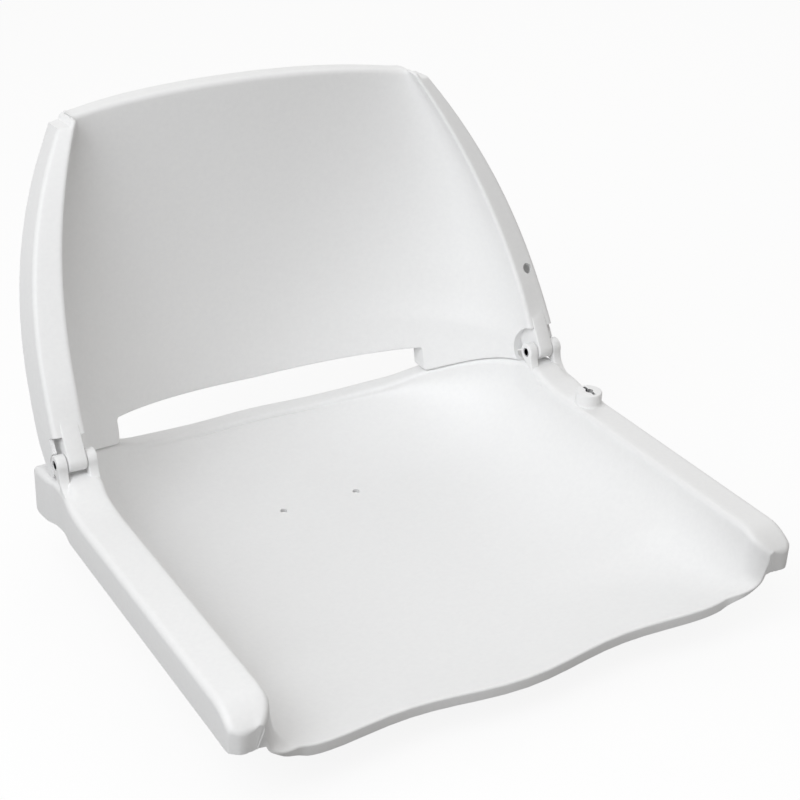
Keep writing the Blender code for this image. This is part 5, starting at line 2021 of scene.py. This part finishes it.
@dataclass
class Studio:
    """Plain soft light, a pale floor and the camera at the photograph's angle."""

    camera_place: tuple[float, float, float] = (-0.622582, -1.126437, 0.681829)
    camera_right: tuple[float, float, float] = (0.858788, -0.511095, 0.035565)
    camera_up: tuple[float, float, float] = (0.211742, 0.417285, 0.883764)
    lens: float = 75.177
    sensor: float = 36.0
    clip_near: float = 0.05
    clip_far: float = 100.0
    floor_size: float = 12.0
    floor_level: float = -0.0005
    floor_grey: float = 0.15
    floor_shadow: float = 0.11
    ambient: float = 0.425
    ambient_colour: tuple[float, float, float, float] = (1.0, 0.965, 0.925, 1.0)
    lamp_colour: tuple[float, float, float] = (0.955, 0.976, 1.0)
    lamp_size: float = 1.6
    lamp_target: tuple[float, float, float] = (0.0, 0.0, 0.15)
    lamps: tuple[Lamp, ...] = (
        Lamp("key from the left front", (-1.35, -1.0, 2.25), 29.5),
        Lamp("fill from the left", (-2.0, -0.55, 1.6), 18.5),
        Lamp("rim light from the right rear", (1.5, 1.2, 1.8), 9.0))

    def camera(self) -> bpy.types.Object:
        """Makes the camera, its place given from the hinge.

        Returns:
            The camera, set as the scene's.
        """
        data = bpy.data.cameras.new("camera")
        data.lens = self.lens
        data.sensor_width = self.sensor
        data.clip_start, data.clip_end = self.clip_near, self.clip_far
        thing = bpy.data.objects.new("camera", data)
        right, up = Vector(self.camera_right).normalized(), Vector(self.camera_up)
        back = right.cross(up).normalized()
        up = back.cross(right)
        turn = Matrix((right, up, back)).transposed().to_4x4()
        thing.matrix_world = Matrix.Translation(Vector(self.camera_place) + HINGE) @ turn
        bpy.context.scene.collection.objects.link(thing)
        bpy.context.scene.camera = thing
        return thing

    def hang(self, lamp: Lamp) -> None:
        """Hangs a lamp that points at the seat's middle."""
        data = bpy.data.lights.new(lamp.name, "AREA")
        data.shape = "SQUARE"
        data.size = self.lamp_size
        data.energy = lamp.power
        data.color = self.lamp_colour
        thing = bpy.data.objects.new(lamp.name, data)
        thing.location = lamp.place
        aim = Vector(self.lamp_target) - Vector(lamp.place)
        thing.rotation_euler = aim.to_track_quat("-Z", "Y").to_euler()
        bpy.context.scene.collection.objects.link(thing)

    def seen(self, tree: bpy.types.NodeTree) -> bpy.types.NodeSocket:
        """Adds nodes that are 1 for what the camera sees directly, in a mirror or through glass."""
        path = tree.nodes.new("ShaderNodeLightPath")
        total = path.outputs["Is Camera Ray"]
        for name in ("Is Glossy Ray", "Is Transmission Ray"):
            add = tree.nodes.new("ShaderNodeMath")
            add.operation = "MAXIMUM"
            tree.links.new(total, add.inputs[0])
            tree.links.new(path.outputs[name], add.inputs[1])
            total = add.outputs[0]
        return total

    def choose(self, tree: bpy.types.NodeTree, unseen: bpy.types.Node, seen: bpy.types.Node, kind: str) -> None:
        """Closes a tree with one shader for what the camera sees and another for all else.

        Args:
            tree: The node tree.
            unseen: Shader that lights the seat.
            seen: Shader that the camera sees.
            kind: Blender's name for the type of the output node.
        """
        choice = tree.nodes.new("ShaderNodeMixShader")
        for socket, source in enumerate((self.seen(tree), unseen.outputs[0], seen.outputs[0])):
            tree.links.new(source, choice.inputs[socket])
        out = tree.nodes.new(kind)
        tree.links.new(choice.outputs[0], out.inputs["Surface"])

    def floor(self) -> bpy.types.Object:
        """Makes the pale floor, which keeps a faint shadow and throws little light back up.

        Returns:
            The floor.
        """
        half = self.floor_size / 2
        mesh = bpy.data.meshes.new("floor")
        corners = [(-half, -half), (half, -half), (half, half), (-half, half)]
        mesh.from_pydata([(x, y, self.floor_level) for x, y in corners], [], [(0, 1, 2, 3)])
        thing = bpy.data.objects.new("floor", mesh)
        bpy.context.scene.collection.objects.link(thing)
        material = bpy.data.materials.new("pale floor")
        material.use_nodes = True
        tree = material.node_tree
        tree.nodes.clear()
        grey = tree.nodes.new("ShaderNodeBsdfDiffuse")
        grey.inputs["Color"].default_value = (self.floor_grey, self.floor_grey, self.floor_grey, 1.0)
        paper = tree.nodes.new("ShaderNodeBsdfDiffuse")
        paper.inputs["Color"].default_value = (1.0, 1.0, 1.0, 1.0)
        glow = tree.nodes.new("ShaderNodeEmission")
        glow.inputs["Strength"].default_value = 1.0
        pale = tree.nodes.new("ShaderNodeMixShader")
        pale.inputs[0].default_value = self.floor_shadow
        tree.links.new(glow.outputs[0], pale.inputs[1])
        tree.links.new(paper.outputs[0], pale.inputs[2])
        self.choose(tree, grey, pale, "ShaderNodeOutputMaterial")
        mesh.materials.append(material)
        return thing

    def world(self) -> None:
        """Sets the even light from all round, with white where the camera looks past the floor."""
        world = bpy.data.worlds.new("studio")
        world.use_nodes = True
        tree = world.node_tree
        tree.nodes.clear()
        soft = tree.nodes.new("ShaderNodeBackground")
        soft.inputs["Color"].default_value = self.ambient_colour
        soft.inputs["Strength"].default_value = self.ambient
        white = tree.nodes.new("ShaderNodeBackground")
        white.inputs["Color"].default_value = (1.0, 1.0, 1.0, 1.0)
        self.choose(tree, soft, white, "ShaderNodeOutputWorld")
        bpy.context.scene.world = world

    def build(self) -> None:
        """Sets up camera, floor, world and lamps."""
        bpy.context.scene.view_settings.view_transform = "Standard"
        self.camera()
        self.floor()
        self.world()
        for lamp in self.lamps:
            self.hang(lamp)


def main() -> None:
    """Builds every piece in order."""
    logging.basicConfig(level=logging.INFO, format="%(name)s: %(message)s")
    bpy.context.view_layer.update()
    shared = SharedSizes()
    studio = Studio()
    studio.build()
    seat = SeatShell(shared)
    # Near-black painted shade for the walls and floor of the boss's slot, in place of the shadow inside it.
    slot_shade = MouldedPlastic("painted slot shade", colour=(0.022, 0.022, 0.024))
    shell = seat.build(MouldedPlastic("white seat plastic"), slot_shade)
    back = BackrestShell(shared, seat).build(MouldedPlastic("white backrest plastic"))
    under = Underside(shared, seat).build(shell, MouldedPlastic("white underside plastic"))
    pins = HingePins(shared).build(SPRING_STEEL)
    inserts = MountingInserts(shared).build(TURNED_BRASS)
    for piece in (shell, back, under, pins, inserts):
        triangles = sum(len(face.vertices) - 2 for face in piece.data.polygons)
        LOG.info("%s: %d triangles", piece.name, triangles)


if __name__ == "__main__":
    main()
